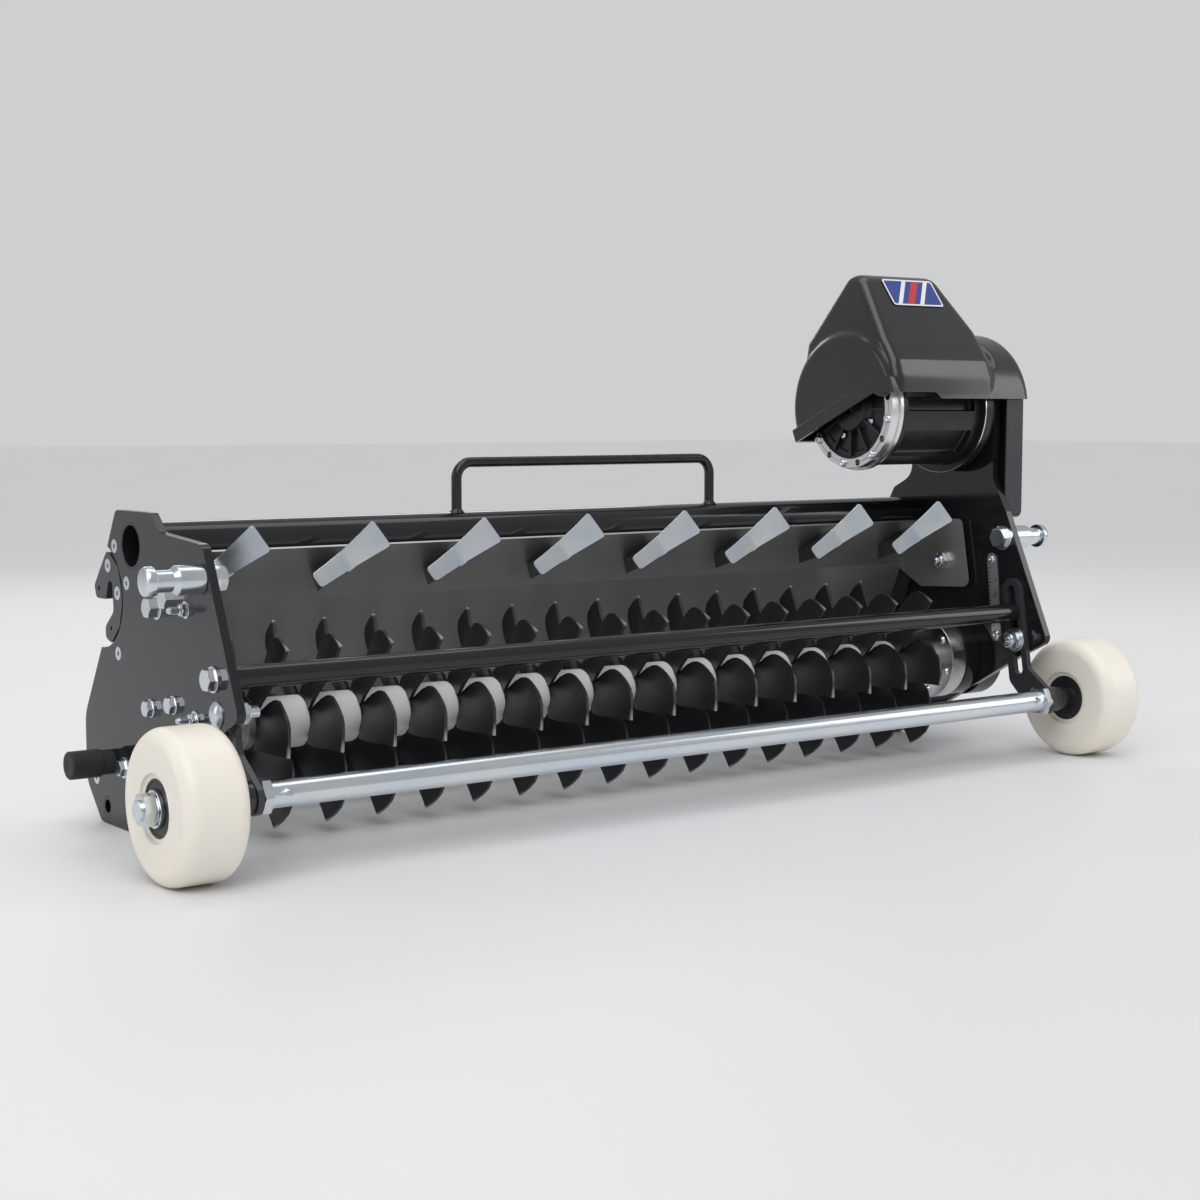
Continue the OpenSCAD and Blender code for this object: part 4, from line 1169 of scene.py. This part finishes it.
PIN_STEPS = (
    *((0, 6.1), (0, 11.9), (0.6, 12.5), (22.4, 12.5), (23.2, 12.2), (27, 9.1), (42, 9.0), (42.6, 12.2), (43.2, 12.5)),
    *((48, 12.5), (49.8, 11.4), (50.6, 9.6), (51, 7), (51, 0.4), (25, 0.4), (25, 6.1), (0, 6.1)),
)
KNOB_STEPS = (
    *((0, 4.3), (0, 10.4), (0.6, 11), (11.4, 11), (12, 10.6), (12, 11.7), (12.8, 12.5)),
    *((39.6, 12.5), (40.7, 11.6), (41, 10.6), (40.8, 4.3), (0, 4.3)),
)


class SCARIFIER_OT_spigots(bpy.types.Operator):
    """Turn the grooved spigots and the rubber buffers"""

    bl_idname = "scarifier.spigots"
    bl_label = "Spigots and buffers"

    def execute(self, context):
        for side, name in ((-1, "left"), (1, "right")):
            pin = lathe(PIN_STEPS, SPIGOT, side, PLATE_OUT, 64)
            fitted(name + "_spigot_turned", [pin], "zinc_plate", name + "_spigot")
            core = lathe([(-16, 4), (40.6, 4)], BUFFER, side, PLATE_OUT, 24)
            knob = lathe(KNOB_STEPS, BUFFER, side, PLATE_OUT, 64)
            fitted(name + "_buffer_moulded", [knob, core], "black_rubber", name + "_buffer")
        return {"FINISHED"}


# The camera fitted to the photo: place in metres, turn in degrees, lens in millimetres.
CAMERA_AT = (-1.2018, -1.5779, 0.3654)
CAMERA_TURN = (84.81, 0, -36.56)
CAMERA_LENS = 61.63
# name, place and aim in metres, width and height in metres, power in watts
LAMPS = (
    ("soft_key", (-2.0, -1.6, 2.0), (0, 0, 0.15), (1.8, 1.0), 9),
    ("soft_top", (0.1, 0.3, 2.4), (0, 0, 0.1), (2.6, 0.9), 10),
    ("soft_right", (2.2, -1.4, 1.2), (0.2, 0, 0.25), (0.6, 1.5), 7),
    ("soft_rear", (0.9, 2.4, 1.4), (0, 0, 0.3), (2.0, 0.6), 9),
    ("soft_left", (-2.6, 1.2, 1.0), (-0.4, 0, 0.2), (0.5, 1.6), 5),
)


class SCARIFIER_OT_stage(bpy.types.Operator):
    """Add the pale floor, the soft lamps and the camera"""

    bl_idname = "scarifier.stage"
    bl_label = "Stage"

    def execute(self, context):
        floor = named(started(bpy.ops.mesh.primitive_plane_add, size=40), "studio_floor")
        pale = tuple(context.scene.scarifier_colours.floor)
        floor.data.materials.append(finish("Studio floor", pale, 0.0, 0.5, 0.01, 2, grain=0.02))
        for name, at, aim, size, power in LAMPS:
            turn = (Vector(aim) - Vector(at)).to_track_quat("-Z", "Y").to_euler()
            lamp = started(bpy.ops.object.light_add, type="AREA", location=at, rotation=turn)
            lamp.name = name
            lamp.data.shape = "RECTANGLE"
            lamp.data.size, lamp.data.size_y = size
            lamp.data.energy = power
        turn = (math.radians(24), math.radians(-22), 0)
        sky = started(bpy.ops.object.light_add, type="SUN", location=(-1.5, -1.0, 3.0), rotation=turn)
        sky.name = "even_light"
        sky.data.energy = 1.1
        sky.data.angle = math.radians(50)
        self.surroundings(context)
        turn = [math.radians(a) for a in CAMERA_TURN]
        camera = started(bpy.ops.object.camera_add, location=CAMERA_AT, rotation=turn)
        camera.name = "studio_camera"
        camera.data.lens = CAMERA_LENS
        camera.data.sensor_width = 36
        context.scene.camera = camera
        context.scene.view_settings.view_transform = "Standard"
        return {"FINISHED"}

    def surroundings(self, context):
        """A soft pale world, seen by the camera as a slightly darker backdrop."""
        world = bpy.data.worlds.new("Studio")
        context.scene.world = world
        world.use_nodes = True
        tree = world.node_tree
        back = tree.nodes["Background"]
        fill(back, {"Color": (0.92, 0.93, 0.95, 1), "Strength": 0.5})
        seen = tree.nodes.new("ShaderNodeBackground")
        fill(seen, {"Color": (0.62, 0.625, 0.63, 1), "Strength": 1.0})
        path = tree.nodes.new("ShaderNodeLightPath")
        mix = tree.nodes.new("ShaderNodeMixShader")
        fill(mix, {"Fac": path.outputs["Is Camera Ray"], 1: back.outputs[0], 2: seen.outputs[0]})
        fill(tree.nodes["World Output"], {"Surface": mix.outputs[0]})


class SCARIFIER_PT_panel(bpy.types.Panel):
    """Sizes, colours and steps of the scarifier"""

    bl_idname = "SCARIFIER_PT_panel"
    bl_label = "Scarifier"
    bl_space_type = "VIEW_3D"
    bl_region_type = "UI"
    bl_category = "Scarifier"

    def draw(self, context):
        layout = self.layout
        for group in (context.scene.scarifier_sizes, context.scene.scarifier_colours):
            box = layout.box()
            for key in group.__annotations__:
                box.prop(group, key)
        for step in STEPS:
            layout.operator(step.bl_idname)


STEPS = (
    SCARIFIER_OT_finishes,
    SCARIFIER_OT_eased_pieces,
    SCARIFIER_OT_tine_discs,
    SCARIFIER_OT_motor_guard,
    SCARIFIER_OT_wheels,
    SCARIFIER_OT_bolts,
    SCARIFIER_OT_plate_studs,
    SCARIFIER_OT_paddles,
    SCARIFIER_OT_motor,
    SCARIFIER_OT_label,
    SCARIFIER_OT_gauges,
    SCARIFIER_OT_spigots,
    SCARIFIER_OT_stage,
)
CLASSES = (ScarifierSizes, ScarifierColours, *STEPS, SCARIFIER_PT_panel)


def register():
    for c in CLASSES:
        bpy.utils.register_class(c)
    bpy.types.Scene.scarifier_sizes = bpy.props.PointerProperty(type=ScarifierSizes)
    bpy.types.Scene.scarifier_colours = bpy.props.PointerProperty(type=ScarifierColours)


def unregister():
    del bpy.types.Scene.scarifier_colours
    del bpy.types.Scene.scarifier_sizes
    for c in reversed(CLASSES):
        bpy.utils.unregister_class(c)


def main():
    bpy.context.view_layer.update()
    register()
    for step in STEPS:
        group, name = step.bl_idname.split(".")
        getattr(getattr(bpy.ops, group), name)()


if __name__ == "__main__":
    main()
